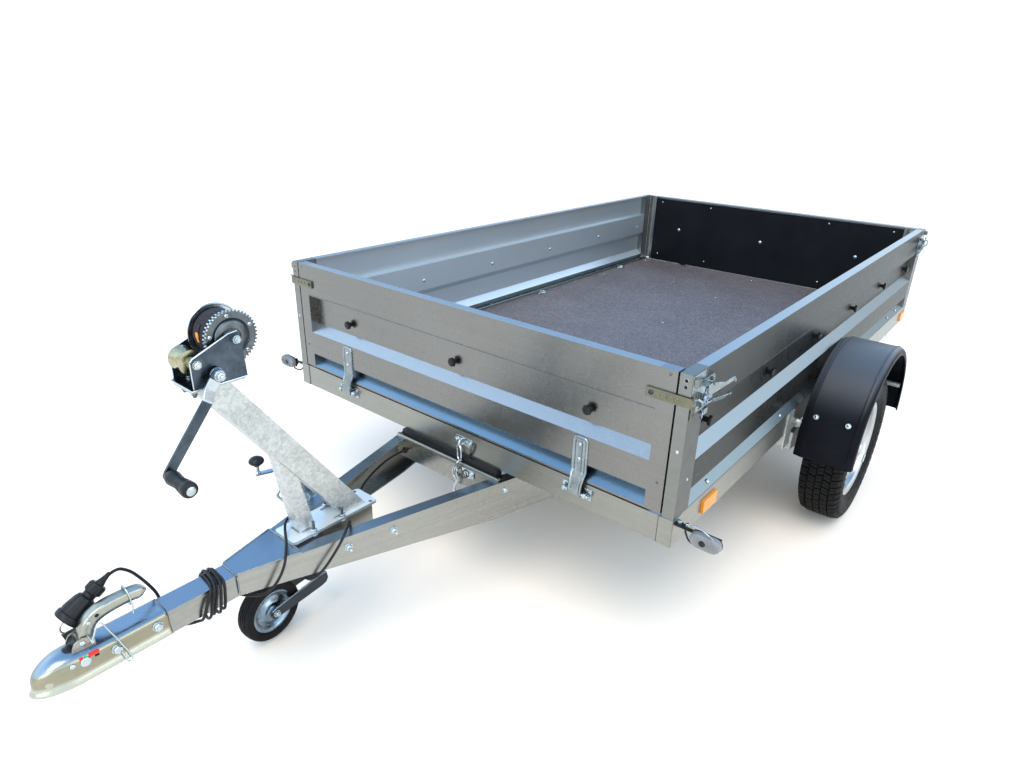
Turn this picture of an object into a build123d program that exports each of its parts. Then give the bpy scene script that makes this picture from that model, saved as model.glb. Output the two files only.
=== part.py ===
from build123d import *
import os
import math

os.makedirs("parts", exist_ok=True)

# ---------------------------------------------------------------------------
# Small tipping utility trailer, drawn in millimetres.
# +X points forward to the coupling, +Y to the left side, +Z up, ground z = 0.
# X values below are measured from the middle of the load box; ORIGIN_X moves
# them so that the finished trailer is centred on the origin.
# ---------------------------------------------------------------------------
NOSE_X = 2440.0            # tip of the coupling head
TAIL_X = -1290.0           # rearmost face of the tailgate hinges
ORIGIN_X = (NOSE_X + TAIL_X) / 2

# load box
HALF_LEN = 1270.0          # outer half length, over the corner posts
HALF_WID = 768.0           # outer half width, over the rim
BED_Z = 438.0              # underside of the bed frame
FLOOR_Z = 515.0            # top of the side rails and of the floor board
RIM_Z = 901.0              # top of the rim
SHEET = 2.0                # pressed sheet
RIB = 28.0                 # depth of the pressed steps
RAIL_W = 44.0              # width of the bed side rails
POST_FACE = 32.0           # width of the post seen from the front
POST_SIDE = 78.0           # width of the post seen from the side
PANEL_HALF = 731.0         # half width of front panel and tailgate
PANEL_Z = 520.0            # lower edge of front panel and tailgate
HINGE_OUT = 12.0           # strap hinge pins, outside the end faces
HINGE_PIN_Z = 486.0
HINGE_Y = 486.0            # middle of a strap hinge
STILE_W = 46.0             # flat stile at each end of an end panel

# drawbar
DRAW_TOP = 407.0           # top face of tongue and rails
TONGUE_W = 60.0
TONGUE_BOTTOM = 347.0
TONGUE_FRONT = 2290.0
TONGUE_REAR = 1606.0
RAIL_START_X = 2012.0      # where the rails meet the tongue
RAIL_START_Y = 33.0
RAIL_SPREAD = 0.2663       # sideways run of a rail per mm of length
RAIL_END_X = -160.0
RAIL_FLANGE = 38.0
RAIL_WALL = 4.0

# wheels
AXLE_X = 50.0
AXLE_Z = 281.0
TYRE_R = 281.0
TYRE_W = 145.0
TYRE_Y = 877.5             # middle of the left tyre
RIM_R = 183.0

# bed hinge
HINGE_X = -130.0
HINGE_Z = 424.0


def block(x0, x1, y0, y1, z0, z1):
    return Pos((x0 + x1) / 2, (y0 + y1) / 2, (z0 + z1) / 2) * Box(
        abs(x1 - x0), abs(y1 - y0), abs(z1 - z0))


def rod_x(y, z, r, x0, x1):
    return Pos((x0 + x1) / 2, y, z) * Rot(0, 90, 0) * Cylinder(r, abs(x1 - x0))


def rod_y(x, z, r, y0, y1):
    return Pos(x, (y0 + y1) / 2, z) * Rot(90, 0, 0) * Cylinder(r, abs(y1 - y0))


def rod_z(x, y, r, z0, z1):
    return Pos(x, y, (z0 + z1) / 2) * Cylinder(r, abs(z1 - z0))


def prism_xz(points, y0, y1):
    """Outline in X and Z, extruded from y0 to y1."""
    face = Plane.XZ * make_face(Polyline(*points, close=True))
    return Pos(0, y1, 0) * extrude(face, abs(y1 - y0))


def prism_yz(points, x0, x1):
    """Outline in Y and Z, extruded from x0 to x1."""
    face = Plane.YZ * make_face(Polyline(*points, close=True))
    return Pos(x0, 0, 0) * extrude(face, abs(x1 - x0))


def prism_xy(points, z0, z1):
    """Outline in X and Y, extruded from z0 to z1."""
    face = make_face(Polyline(*points, close=True))
    return Pos(0, 0, z0) * extrude(face, abs(z1 - z0))


def strip_outline(path, t):
    """Closed outline of a strip of thickness t on the left of an open path."""
    n = len(path)
    normals = []
    for i in range(n - 1):
        dx, dy = path[i + 1][0] - path[i][0], path[i + 1][1] - path[i][1]
        d = math.hypot(dx, dy)
        normals.append((-dy / d, dx / d))
    inner = []
    for i in range(n):
        if i == 0:
            nx, ny = normals[0]
            k = t
        elif i == n - 1:
            nx, ny = normals[-1]
            k = t
        else:
            ax, ay = normals[i - 1]
            bx, by = normals[i]
            nx, ny = ax + bx, ay + by
            d = math.hypot(nx, ny)
            nx, ny = nx / d, ny / d
            k = t / (nx * ax + ny * ay)
        inner.append((path[i][0] + nx * k, path[i][1] + ny * k))
    return list(path) + inner[::-1]


def other_side(shape):
    return mirror(shape, about=Plane.XZ)


def save(name, shape):
    moved = Pos(-ORIGIN_X, 0, 0) * shape
    moved.label = name
    export_step(moved, "parts/" + name + ".step")


# ---------------------------------------------------------------------------
# Drawbar: square tongue, two tapering channel rails running back to the axle,
# gusset plate, cross members and the lugs that carry the bed hinge
# ---------------------------------------------------------------------------
def rail_y(x):
    return RAIL_START_Y + RAIL_SPREAD * (RAIL_START_X - x)


def rail_plan(inset_outer, inset_inner, x0, x1):
    return [(x0, rail_y(x0) - inset_outer), (x1, rail_y(x1) - inset_outer),
            (x1, rail_y(x1) - inset_inner), (x0, rail_y(x0) - inset_inner)]


rail_side = [(RAIL_START_X, 407), (RAIL_START_X, 349), (1303, 286), (900, 286),
             (300, 350), (RAIL_END_X, 350), (RAIL_END_X, 407)]
rail_void = [(RAIL_START_X + 5, 403), (RAIL_START_X + 5, 353.5), (1303, 290),
             (900, 290), (300, 354), (RAIL_END_X - 5, 354),
             (RAIL_END_X - 5, 403)]
rail = prism_xy(rail_plan(0, RAIL_FLANGE, RAIL_START_X, RAIL_END_X), 270, 410) \
    & prism_xz(rail_side, -50, 900)
rail -= prism_xy(rail_plan(RAIL_WALL, RAIL_FLANGE + 3, RAIL_START_X + 10,
                           RAIL_END_X - 10), 270, 410) \
    & prism_xz(rail_void, -50, 900)
tongue = block(TONGUE_REAR, TONGUE_FRONT, -30, 30, TONGUE_BOTTOM, DRAW_TOP) \
    - block(TONGUE_REAR - 5, TONGUE_FRONT + 5, -26, 26,
            TONGUE_BOTTOM + 4, DRAW_TOP - 4)
rails = rail + other_side(rail)
rails -= block(TONGUE_REAR - 1, TONGUE_FRONT, -30, 30, TONGUE_BOTTOM - 5,
               DRAW_TOP + 5)
gusset = prism_xy([(1862, rail_y(1862)), (1862, -rail_y(1862)),
                   (RAIL_START_X, -RAIL_START_Y),
                   (RAIL_START_X, RAIL_START_Y)], DRAW_TOP, DRAW_TOP + 4)
# columns: rear face x, front face x, bottom z, top z
CROSS_MEMBERS = [
    (1250.0, 1290.0, 340.0, 407.0),
    (620.0, 660.0, 347.0, 403.0),
    (-155.0, -115.0, 357.0, 403.0),
]
drawbar = tongue + rails + gusset
for x0, x1, z0, z1 in CROSS_MEMBERS:
    w0, w1 = rail_y(x0) - RAIL_WALL, rail_y(x1) - RAIL_WALL
    outer = prism_xy([(x0, -w0), (x1, -w1), (x1, w1), (x0, w0)], z0, z1)
    inner = block(x0 + 3, x1 - 3, -w0 - 5, w0 + 5, z0 + 3, z1 - 3)
    drawbar += outer - inner
LUG_Y = 584.0
lug = prism_xz([(HINGE_X - 26, 403), (HINGE_X + 26, 403),
                (HINGE_X + 11, HINGE_Z), (HINGE_X - 11, HINGE_Z)],
               LUG_Y - 4, LUG_Y + 4) \
    + rod_y(HINGE_X, HINGE_Z, 11, LUG_Y - 4, LUG_Y + 4) \
    - rod_y(HINGE_X, HINGE_Z, 8.1, LUG_Y - 10, LUG_Y + 10)
drawbar += lug + other_side(lug)
save("drawbar_frame", drawbar)

# rubber strip that the front of the bed rests on
strip = prism_yz([(-205, DRAW_TOP), (205, DRAW_TOP), (205, BED_Z - 4),
                  (201, BED_Z), (-201, BED_Z), (-205, BED_Z - 4)], 1254, 1280)
save("bed_rest_strip", strip)

# axle: square beam, with a trailing arm and its stub at each end
BEAM_X, BEAM_Z = 190.0, 315.0
axle = block(BEAM_X - 35, BEAM_X + 35, -715, 715, BEAM_Z - 35, BEAM_Z + 35) \
    - block(BEAM_X - 30, BEAM_X + 30, -716, 716, BEAM_Z - 30, BEAM_Z + 30)
arm = prism_xz([(BEAM_X + 38, BEAM_Z + 30), (BEAM_X + 38, BEAM_Z - 38),
                (AXLE_X - 5, AXLE_Z - 30), (AXLE_X - 30, AXLE_Z - 5),
                (AXLE_X - 22, AXLE_Z + 26), (BEAM_X, BEAM_Z + 38)], 715, 737)
stub = rod_y(AXLE_X, AXLE_Z, 20, 737, 850)
save("axle_beam", axle)
trailing_arm = arm + stub
save("trailing_arms", Compound([trailing_arm, other_side(trailing_arm)]))


# ---------------------------------------------------------------------------
# Wheels
# ---------------------------------------------------------------------------
def turned(profile, x, z):
    """Ring about the Y axis through (x, z); profile is (radius, y)."""
    face = make_face(Polyline(*[(r, y) for r, y in profile], close=True))
    ring = revolve(face, Axis.Y, 360)
    return Pos(x, 0, z) * ring


h = TYRE_W / 2
# right half of the tyre's section, as (radius, distance from its middle)
TYRE_OUT = [(TYRE_R, 48), (275, 60), (255, h), (230, h), (205, 68),
            (187, 60), (184, 53), (166, 52), (166, 40), (200, 52),
            (240, 60), (262, 44), (268, 0)]
tyre_profile = [(r, TYRE_Y + d) for r, d in TYRE_OUT] \
    + [(r, TYRE_Y - d) for r, d in TYRE_OUT[-2::-1]]
tyre = turned(tyre_profile, AXLE_X, AXLE_Z)
DISC_Y = 907.0
rim_profile = [(RIM_R, TYRE_Y - 58), (RIM_R, TYRE_Y - 53.5),
               (168, TYRE_Y - 53.2), (165.9, TYRE_Y - 52),
               (165.9, TYRE_Y - 20), (150, TYRE_Y - 5),
               (150, TYRE_Y + 12), (165.9, TYRE_Y + 24),
               (165.9, TYRE_Y + 52), (168, TYRE_Y + 53.2),
               (RIM_R, TYRE_Y + 53.5), (RIM_R, TYRE_Y + 58),
               (167, TYRE_Y + 56), (162, TYRE_Y + 50),
               (162, TYRE_Y + 26), (147, TYRE_Y + 15),
               (138, DISC_Y + 10), (100, DISC_Y + 16), (80, DISC_Y + 4),
               (30, DISC_Y + 4), (30, DISC_Y), (82, DISC_Y),
               (102, DISC_Y + 12), (134, DISC_Y + 6), (146, TYRE_Y - 4),
               (162, TYRE_Y - 19), (162, TYRE_Y - 50),
               (167, TYRE_Y - 56)]
rim = turned(rim_profile, AXLE_X, AXLE_Z)
hub_profile = [(22, 770), (55, 770), (55, 880), (70, 895), (70, DISC_Y),
               (29.5, DISC_Y), (29.5, DISC_Y + 22), (25, DISC_Y + 34),
               (0, DISC_Y + 34), (0, 862), (22, 862)]
hub = turned(hub_profile, AXLE_X, AXLE_Z)
for name, solid in (("tyre", tyre), ("rim", rim), ("hub", hub)):
    save("left_wheel_" + name, solid)
    save("right_wheel_" + name, other_side(solid))

# ---------------------------------------------------------------------------
# Coupling head and its handle
# ---------------------------------------------------------------------------
BALL_X, BALL_R = 2398.0, 26.0
SOCKET_Z0, SOCKET_Z1 = 352.0, 378.0


def nose_outline(half, tip, rear=2176):
    """Plan of the head: straight sides and a round nose."""
    start = tip - half
    return make_face(Line((rear, -half), (start, -half)) + ThreePointArc(
        (start, -half), (tip, 0), (start, half)) + Line(
        (start, half), (rear, half)) + Line((rear, half), (rear, -half)))


head = Pos(0, 0, 356) * extrude(nose_outline(36, 2434), 57)
head = fillet(head.edges().filter_by(lambda e: abs(e.center().Z - 413) < 0.5
                                     and e.center().X > 2180), 12)
dome = (Pos(2384, 0, 365.8) * Sphere(54.2)) & block(2340, 2430, -40, 40,
                                                    409, 421)
head += dome
head += Pos(0, 0, SOCKET_Z0) * extrude(nose_outline(43, NOSE_X), 4)
head -= block(2170, 2326, -31, 31, 340, 408)
head -= Pos(BALL_X, 0, SOCKET_Z1) * Sphere(BALL_R)
head -= rod_z(BALL_X, 0, BALL_R, 340, SOCKET_Z1)
head -= block(2320, 2366, -18, 18, 340, 390)
save("coupling_head", head)

# lever: pressed channel from the pivot block up and back to the grip
handle_path = [(2341, 420), (2331, 470), (2318, 484), (2293, 491),
               (2248, 490), (2214, 484), (2198, 470)]
handle = prism_xz(strip_outline(handle_path, 22), -14, 14) \
    - prism_xz(strip_outline([(2334, 430), (2322, 462), (2310, 473),
                              (2290, 479), (2250, 478), (2210, 470)], 12),
               -10, 10)
pivot = block(2318, 2352, -17, 17, 413, 432)
coupling_handle = (handle + pivot) - head
save("coupling_handle", coupling_handle)

# parking plate on the far side that carries the electrical plug
holder = prism_xz([(2316, 385), (2346, 385), (2356, 431), (2330, 431)],
                  -39, -36)
save("plug_holder", holder)

# ---------------------------------------------------------------------------
# Winch post: leaning square post with its seat, and its foot (base plate and
# strut)
# ---------------------------------------------------------------------------
LEAN = 0.706               # forward run of the post per mm of height
POST_Z0, POST_Z1 = 422.0, 888.0
POST_HALF = 37.0           # half of the level cut through the post


def post_mid(z):
    return 1660.0 + LEAN * (z - 415.0)


def post_side(half, z0, z1):
    return [(post_mid(z0) - half, z0), (post_mid(z0) + half, z0),
            (post_mid(z1) + half, z1), (post_mid(z1) - half, z1)]


post = prism_xz(post_side(POST_HALF, POST_Z0, POST_Z1), -30, 30) \
    - prism_xz(post_side(POST_HALF - 5, POST_Z0 - 1, POST_Z1 + 1), -26, 26)
post += block(1925, 2043, -38, 38, POST_Z1, POST_Z1 + 6)
save("winch_post", post)
strut = prism_xz([(1783, POST_Z0), (1828, POST_Z0), (1866, 655),
                  (1820, 600)], -20, 20) \
    - prism_xz(post_side(POST_HALF, 400, 700), -40, 40)
foot = block(1596, 1864, -43.5, 43.5, POST_Z0 - 8, POST_Z0)
foot = fillet(foot.edges().filter_by(Axis.Z), 10)
foot += block(1612, 1852, -30, 30, DRAW_TOP, POST_Z0 - 8)
foot -= rod_z(1614, -35, 5.5, 400, 430) + rod_z(1614, 35, 5.5, 400, 430)
save("winch_post_foot", foot + strut)

# ---------------------------------------------------------------------------
# Winch: tray with two cheeks, guide roller, drum with its gear and the wound
# strap, crank on the pinion shaft
# ---------------------------------------------------------------------------
DRUM_X, DRUM_Z = 1939.0, 984.0
CRANK_X, CRANK_Z = 1993.0, 922.0
ROLLER_X, ROLLER_Z = 2027.0, 950.0
WINCH_Z = POST_Z1 + 6
CHEEK_Y0, CHEEK_Y1 = 41.0, 45.0
cheek_side = [(1922, WINCH_Z), (2039, WINCH_Z), (2039, 957), (2034, 963),
              (1952, 997), (1932, 999), (1926, 992)]
cheek = prism_xz(cheek_side, CHEEK_Y0, CHEEK_Y1)
for x, z in ((DRUM_X, DRUM_Z), (CRANK_X, CRANK_Z)):
    cheek -= rod_y(x, z, 8.1, 30, 60)
cheek -= rod_y(ROLLER_X, ROLLER_Z, 5, 30, 60)
tray = block(1922, 2045, -45, 45, WINCH_Z, WINCH_Z + 4)
save("winch_frame", tray + cheek + other_side(cheek))
roller = turned([(0, -49), (9, -49), (9, -45), (4.9, -45), (4.9, -41), (12, -41),
                 (12, -24), (26, -22), (22, -12), (20, 0), (22, 12),
                 (26, 22), (12, 24), (12, 41), (4.9, 41), (4.9, 45), (9, 45),
                 (9, 49), (0, 49)], ROLLER_X, ROLLER_Z)
save("winch_guide_roller", roller)

# drum: far flange, core and dished gear wheel, as (radius, y)
drum = turned([(0, -50), (8, -50), (8, -38), (60, -38), (60, -35.5),
               (22, -35.5), (22, 25), (60, 25), (60, 32), (38, 32), (32, 28),
               (20, 28), (14, 33), (14, 38), (8, 38), (8, 52), (0, 52)],
              DRUM_X, DRUM_Z)
save("winch_drum", drum)
strap = turned([(22, -34), (50, -34), (50, 24), (22, 24)], DRUM_X, DRUM_Z)
save("winch_strap", strap)

PINION_R = 18.0
crank = turned([(0, -50), (8, -50), (8, 25), (PINION_R, 25), (PINION_R, 32),
                (8, 32), (8, 51), (15, 51), (15, 72), (12, 72), (12, 84),
                (0, 84)], CRANK_X, CRANK_Z)
crank += prism_xz([(1984, 934), (1993, 903), (2013, 884), (2126, 744),
                   (2143, 757), (2031, 898), (2004, 936)], 72, 77)
crank += rod_y(2132, 754, 6, 74, 90)
save("winch_crank", crank)
grip = turned([(6.1, 80), (12, 80), (16, 92), (13, 120), (17, 150),
               (16, 166), (0, 166), (0, 90.5), (6.1, 90.5)], 2132, 754)
save("winch_crank_grip", grip)

# ---------------------------------------------------------------------------
# Jockey wheel on the right rail. The fork and wheel are drawn pointing
# straight forward and then swung to where they are parked.
# ---------------------------------------------------------------------------
JOCKEY_X, JOCKEY_Y = 1692.0, -168.0
PARK_TURN = 5.36           # degrees, seen from above
ring = rod_z(JOCKEY_X, JOCKEY_Y, 31, 345, 405) \
    - rod_z(JOCKEY_X, JOCKEY_Y, 24.1, 340, 410)
clamp = block(1655, 1729, -162, -90, 350, 400) \
    - rod_z(JOCKEY_X, JOCKEY_Y, 30, 340, 410)
clamp = (ring + clamp) - prism_xy([(1500, -rail_y(1500)),
                                   (1900, -rail_y(1900)),
                                   (1900, 50), (1500, 50)], 300, 450)
lever_path = FilletPolyline([(1716, -180, 392), (1752, -176, 396),
                             (1776, -168, 429), (1752, -166, 466)],
                            radius=[10, 10])
lever = sweep(Plane(origin=lever_path @ 0, z_dir=lever_path % 0) * Circle(4),
              path=lever_path)
save("jockey_clamp", clamp + lever)
outer_tube = rod_z(JOCKEY_X, JOCKEY_Y, 24, 215, 488) \
    - rod_z(JOCKEY_X, JOCKEY_Y, 20.2, 200, 480)
save("jockey_outer_tube", outer_tube)
KNOB_X, KNOB_Y = 1801.0, -204.0
a = Vector(KNOB_X - JOCKEY_X, KNOB_Y - JOCKEY_Y, 0)
u = a.normalized()
v = Vector(-u.Y, u.X, 0)
c0 = Vector(JOCKEY_X, JOCKEY_Y, 0) - u * 12
c1 = Vector(KNOB_X, KNOB_Y, 0) + u * 7
jcrank = rod_z(JOCKEY_X, JOCKEY_Y, 12, 489, 502) \
    + prism_xy([(p.X, p.Y) for p in (c0 - v * 9, c1 - v * 7, c1 + v * 7,
                                     c0 + v * 9)], 493, 498) \
    + rod_z(KNOB_X, KNOB_Y, 5, 497, 535)
save("jockey_crank", jcrank)
knob = Pos(KNOB_X, KNOB_Y, 0) * revolve(Plane.XZ * make_face(Polyline(
    (5.05, 526), (9, 526), (14, 535), (14, 542), (10, 549), (4, 552),
    (0, 552), (0, 535.5), (5.05, 535.5), close=True)), Axis.Z, 360)
save("jockey_crank_knob", knob)
inner_tube = rod_z(JOCKEY_X, JOCKEY_Y, 20, 122, 385) \
    - rod_z(JOCKEY_X, JOCKEY_Y, 17, 126, 390)
save("jockey_inner_tube", inner_tube)
WHEEL_X, WHEEL_R = 1853.0, 92.0
park = Pos(JOCKEY_X, JOCKEY_Y, 0) * Rot(0, 0, PARK_TURN) \
    * Pos(-JOCKEY_X, -JOCKEY_Y, 0)
fork_side = prism_xz([(1664, 96), (1672, 84), (1690, 80), (1848, 76),
                      (1866, 80), (1870, 92), (1866, 104), (1850, 109),
                      (1740, 118), (1690, 121), (1668, 119)],
                     JOCKEY_Y + 30, JOCKEY_Y + 34)
fork_far = Pos(0, -64, 0) * fork_side
fork_head = rod_z(JOCKEY_X, JOCKEY_Y, 24, 104, 121.7) \
    + block(1668, 1716, JOCKEY_Y - 32, JOCKEY_Y + 32, 112, 119)
fork_axle = rod_y(WHEEL_X, WHEEL_R, 6, JOCKEY_Y - 39, JOCKEY_Y + 39)
fork = fork_side + fork_far + fork_head + fork_axle
save("jockey_fork", park * fork)
hub_half = [(6.3, 27), (16, 27), (16, 20), (30, 16), (48, 8), (58, 17),
            (64, 17)]
jwheel = turned([(r, JOCKEY_Y + d) for r, d in hub_half]
                + [(64, JOCKEY_Y - 17), (58, JOCKEY_Y - 17),
                   (48, JOCKEY_Y + 2), (30, JOCKEY_Y + 6),
                   (16, JOCKEY_Y - 4), (16, JOCKEY_Y - 27),
                   (6.3, JOCKEY_Y - 27)], WHEEL_X, WHEEL_R)
save("jockey_wheel_hub", park * jwheel)
jtyre = turned([(64, JOCKEY_Y - 18), (68, JOCKEY_Y - 22),
                (82, JOCKEY_Y - 24), (90, JOCKEY_Y - 19),
                (WHEEL_R, JOCKEY_Y - 11), (WHEEL_R, JOCKEY_Y + 11),
                (90, JOCKEY_Y + 19), (82, JOCKEY_Y + 24),
                (68, JOCKEY_Y + 22), (64, JOCKEY_Y + 18)], WHEEL_X, WHEEL_R)
save("jockey_wheel_tyre", park * jtyre)

# ---------------------------------------------------------------------------
# Electric lead: a 7 mm lead from the cross member, wound once about the
# drawbar, coiled on the tongue and led to the plug
# ---------------------------------------------------------------------------
LEAD_R = 3.5
LEAD_REAR = [
    (1290, -186, 366), (1345, -186, 366), (1405, -174, 363),
    (1470, -158, 352), (1525, -134, 336), (1570, -94, 330), (1612, -48, 331),
    (1652, -4, 331), (1684, 36, 339), (1700, 56, 368), (1706, 62, 402),
    (1714, 76, 430), (1742, 100, 433), (1770, 111, 411), (1794, 105, 378),
    (1822, 99, 346), (1845, 82, 319), (1853, 46, 313), (1844, 6, 316),
    (1822, -28, 325), (1801, -44, 348), (1793, -48, 382), (1797, -48.4, 416),
    (1814, -42, 443), (1842, -24, 444), (1860, 2, 436), (1876, 32, 428),
    (1895, 58, 426), (1912, 77, 408), (1926, 76, 380), (1942, 68, 352),
    (1962, 52, 329), (1984, 22, 323), (2006, -6, 329), (2020, -13, 332.5),
    (2034, -18, 334)]
LEAD_FRONT = [
    (2111, 20, 334), (2128, 17, 334), (2143, 2, 332), (2151, -22, 332),
    (2154, -46, 344), (2157, -50, 376), (2162, -48, 408), (2174, -47, 438),
    (2188, -46, 468), (2206, -45, 500), (2233.2, -42, 523.7),
    (2262.4, -42, 504.9)]


def corner_radii(points):
    radii = []
    for i in range(1, len(points) - 1):
        p, q, r = (Vector(*points[k]) for k in (i - 1, i, i + 1))
        turn = math.radians((q - p).get_angle(r - q))
        radii.append(0.45 * min((q - p).length, (r - q).length)
                     / math.tan(turn / 2))
    return radii


def lead_tube(points):
    radii = corner_radii(points)
    path = FilletPolyline(points, radius=radii)
    tube = sweep(Plane(origin=path @ 0, z_dir=path % 0) * Circle(LEAD_R),
                 path=path)
    print("lead radii", [round(r, 1) for r in radii], "length",
          round(path.length, 1), "volume ratio",
          round(tube.volume / (math.pi * LEAD_R ** 2 * path.length), 4))
    return tube


save("lead_rear", lead_tube(LEAD_REAR))
save("lead_front", lead_tube(LEAD_FRONT))
# sleeve shape of the turns that hang round the tongue
coil = prism_xz([(2029, 428), (2068, 428), (2118, 322), (2033, 322)],
                31.5, 47) \
    + prism_xz([(2029, 428), (2068, 428), (2112, 322), (2033, 322)],
               -47, -31.5) \
    + block(2033, 2112, -47, 47, 322, 345.5) \
    + prism_xy([(2029, -47), (2068, -47), (2068, 47), (2029, 47)], 408.5, 428)
save("lead_coil", coil)
# plug, drawn upright from its gland end and then laid over
plug = revolve(Plane.XZ * make_face(Polyline(
    (0, 0), (9, 0), (10, 4), (17, 4), (18, 8), (18, 26), (14, 29), (14, 36),
    (20, 40), (24, 60), (25, 78), (28, 80), (28, 94), (24, 94), (24, 90),
    (0, 90), close=True)), Axis.Z, 360)
plug += block(8, 33, -9, 9, 43, 57)
plug = Pos(2262.4, -42, 504.9) * Rot(0, 122.8, 0) * plug
save("lead_plug", plug)

# ---------------------------------------------------------------------------
# Bed: frame, floor, side panels, posts
# ---------------------------------------------------------------------------
bed = block(-HALF_LEN, HALF_LEN, HALF_WID - RAIL_W, HALF_WID, BED_Z, FLOOR_Z) \
    - block(-HALF_LEN + 3, HALF_LEN - 3, HALF_WID - RAIL_W - 1, HALF_WID - 3,
            BED_Z + 3, FLOOR_Z - 3)
bed = bed + other_side(bed)
# columns: rear face x, front face x, bottom z, top z
BED_MEMBERS = [
    (-HALF_LEN, -HALF_LEN + 40, BED_Z, FLOOR_Z),
    (HALF_LEN - 40, HALF_LEN, BED_Z, FLOOR_Z),
    (-720.0, -680.0, 460.0, 503.0),
    (-150.0, -110.0, BED_Z, 503.0),
    (410.0, 450.0, 460.0, 503.0),
    (850.0, 890.0, 460.0, 503.0),
]
inner_w = HALF_WID - RAIL_W
for x0, x1, z0, z1 in BED_MEMBERS:
    w = inner_w if z1 > 510 else HALF_WID - 3
    bed += block(x0, x1, -w, w, z0, z1) - block(x0 + 3, x1 - 3, -w - 1, w + 1,
                                                z0 + 3, z1 - 3)
ear = block(HINGE_X - 12, HINGE_X + 12, LUG_Y + 7, LUG_Y + 15,
            HINGE_Z, BED_Z + 3) \
    + rod_y(HINGE_X, HINGE_Z, 12, LUG_Y + 7, LUG_Y + 15) \
    + rod_y(HINGE_X, HINGE_Z, 8, LUG_Y - 10, LUG_Y + 12)
bed += ear + other_side(ear)
save("bed_frame", bed)
floor_board = block(-HALF_LEN + 41, HALF_LEN - 41, -(inner_w - 1),
                    inner_w - 1, 503, FLOOR_Z)
save("floor_board", floor_board)

# outer surface of a pressed wall, as (inset from the outer face, height)
WALL = [(-32.0, RIM_Z), (0.0, RIM_Z), (0.0, 792.0), (-RIB, 788.0),
        (-RIB, 683.0), (0.0, 655.0), (0.0, 573.0), (-RIB, 548.0),
        (0.0, 518.0), (0.0, FLOOR_Z), (-20.0, FLOOR_Z)]
side_panel = prism_yz([(HALF_WID + n, z)
                       for n, z in strip_outline(WALL, -SHEET)],
                      -(HALF_LEN - POST_SIDE), HALF_LEN - POST_SIDE)
save("left_side_panel", side_panel)
save("right_side_panel", other_side(side_panel))


def corner_post():
    """Front left corner post: a box open to the inside, with a cap."""
    p = block(HALF_LEN - 3, HALF_LEN, HALF_WID - POST_FACE, HALF_WID,
              FLOOR_Z, RIM_Z)
    p += block(HALF_LEN - POST_SIDE, HALF_LEN, HALF_WID - 3, HALF_WID,
               FLOOR_Z, RIM_Z)
    p += block(HALF_LEN - POST_SIDE, HALF_LEN - POST_SIDE + 3,
               HALF_WID - POST_FACE, HALF_WID, FLOOR_Z, RIM_Z)
    p += block(HALF_LEN - POST_SIDE, HALF_LEN, HALF_WID - POST_FACE, HALF_WID,
               RIM_Z - 3, RIM_Z)
    return p


post_fl = corner_post()
save("front_left_post", post_fl)
save("front_right_post", other_side(post_fl))
save("rear_left_post", mirror(post_fl, about=Plane.YZ))
save("rear_right_post", mirror(other_side(post_fl), about=Plane.YZ))

# ---------------------------------------------------------------------------
# Front panel and tailgate on two strap hinges each, with corner straps
# ---------------------------------------------------------------------------
END_WALL = [(-32.0, RIM_Z), (0.0, RIM_Z), (0.0, 792.0), (-RIB, 788.0),
            (-RIB, 683.0), (0.0, 655.0), (0.0, 573.0), (-RIB, 550.0),
            (0.0, 526.0), (0.0, PANEL_Z), (-20.0, PANEL_Z)]
STILE_DEPTH = 33.0


def end_panel():
    """Front panel: pressed sheet between two flat stiles."""
    x0, w = HALF_LEN, PANEL_HALF
    p = prism_xz([(x0 + n, z) for n, z in strip_outline(END_WALL, -SHEET)],
                 -(w - STILE_W + 1), w - STILE_W + 1)
    stile = block(x0 - STILE_DEPTH, x0, w - STILE_W, w, PANEL_Z, RIM_Z) \
        - block(x0 - STILE_DEPTH - 1, x0 - 2.5, w - STILE_W + 2.5, w - 2.5,
                PANEL_Z - 1, RIM_Z - 2.5)
    return p + stile + other_side(stile)


def strap_hinge():
    """Moving half of a strap hinge: riveted leaf and curled eye."""
    x0, y0, y1 = HALF_LEN, HINGE_Y - 25, HINGE_Y + 25
    pin_x = x0 + HINGE_OUT
    leaf = block(x0, x0 + 4, y0, y1, 573, 651)
    drop = prism_xz([(x0, 573), (x0 + 4, 573), (pin_x + 8, HINGE_PIN_Z + 34),
                     (pin_x + 8, HINGE_PIN_Z), (pin_x + 4, HINGE_PIN_Z),
                     (pin_x + 4, HINGE_PIN_Z + 32), (x0, 568)], y0, y1)
    eye = rod_y(pin_x, HINGE_PIN_Z, 8, y0, y1)
    return (leaf + drop + eye) - rod_y(pin_x, HINGE_PIN_Z, 5.1, y0 - 1, y1 + 1)


def hinge_pin():
    """Fixed half: two ears on the sill and the pin between them."""
    pin_x = HALF_LEN + HINGE_OUT
    p = rod_y(pin_x, HINGE_PIN_Z, 5, HINGE_Y - 36, HINGE_Y + 36)
    for y in (HINGE_Y - 36, HINGE_Y + 30):
        p += rod_y(pin_x, HINGE_PIN_Z, 8, y, y + 6)
        p += block(HALF_LEN, pin_x, y, y + 6, HINGE_PIN_Z - 8,
                   HINGE_PIN_Z + 8)
    return p


STRAP_Z0, STRAP_Z1 = 822.0, 847.0


def corner_strap():
    """Flat strap on the panel that reaches round the corner post."""
    x0 = HALF_LEN
    p = block(x0, x0 + 2, 657, 728, STRAP_Z0, STRAP_Z1)
    p += block(x0 + 2, x0 + 5, 657, 773, STRAP_Z0, STRAP_Z1)
    p += block(x0 - 22, x0 + 5, 770, 773, STRAP_Z0, STRAP_Z1)
    return p


def both(shape):
    return Compound([shape, other_side(shape)])


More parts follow.
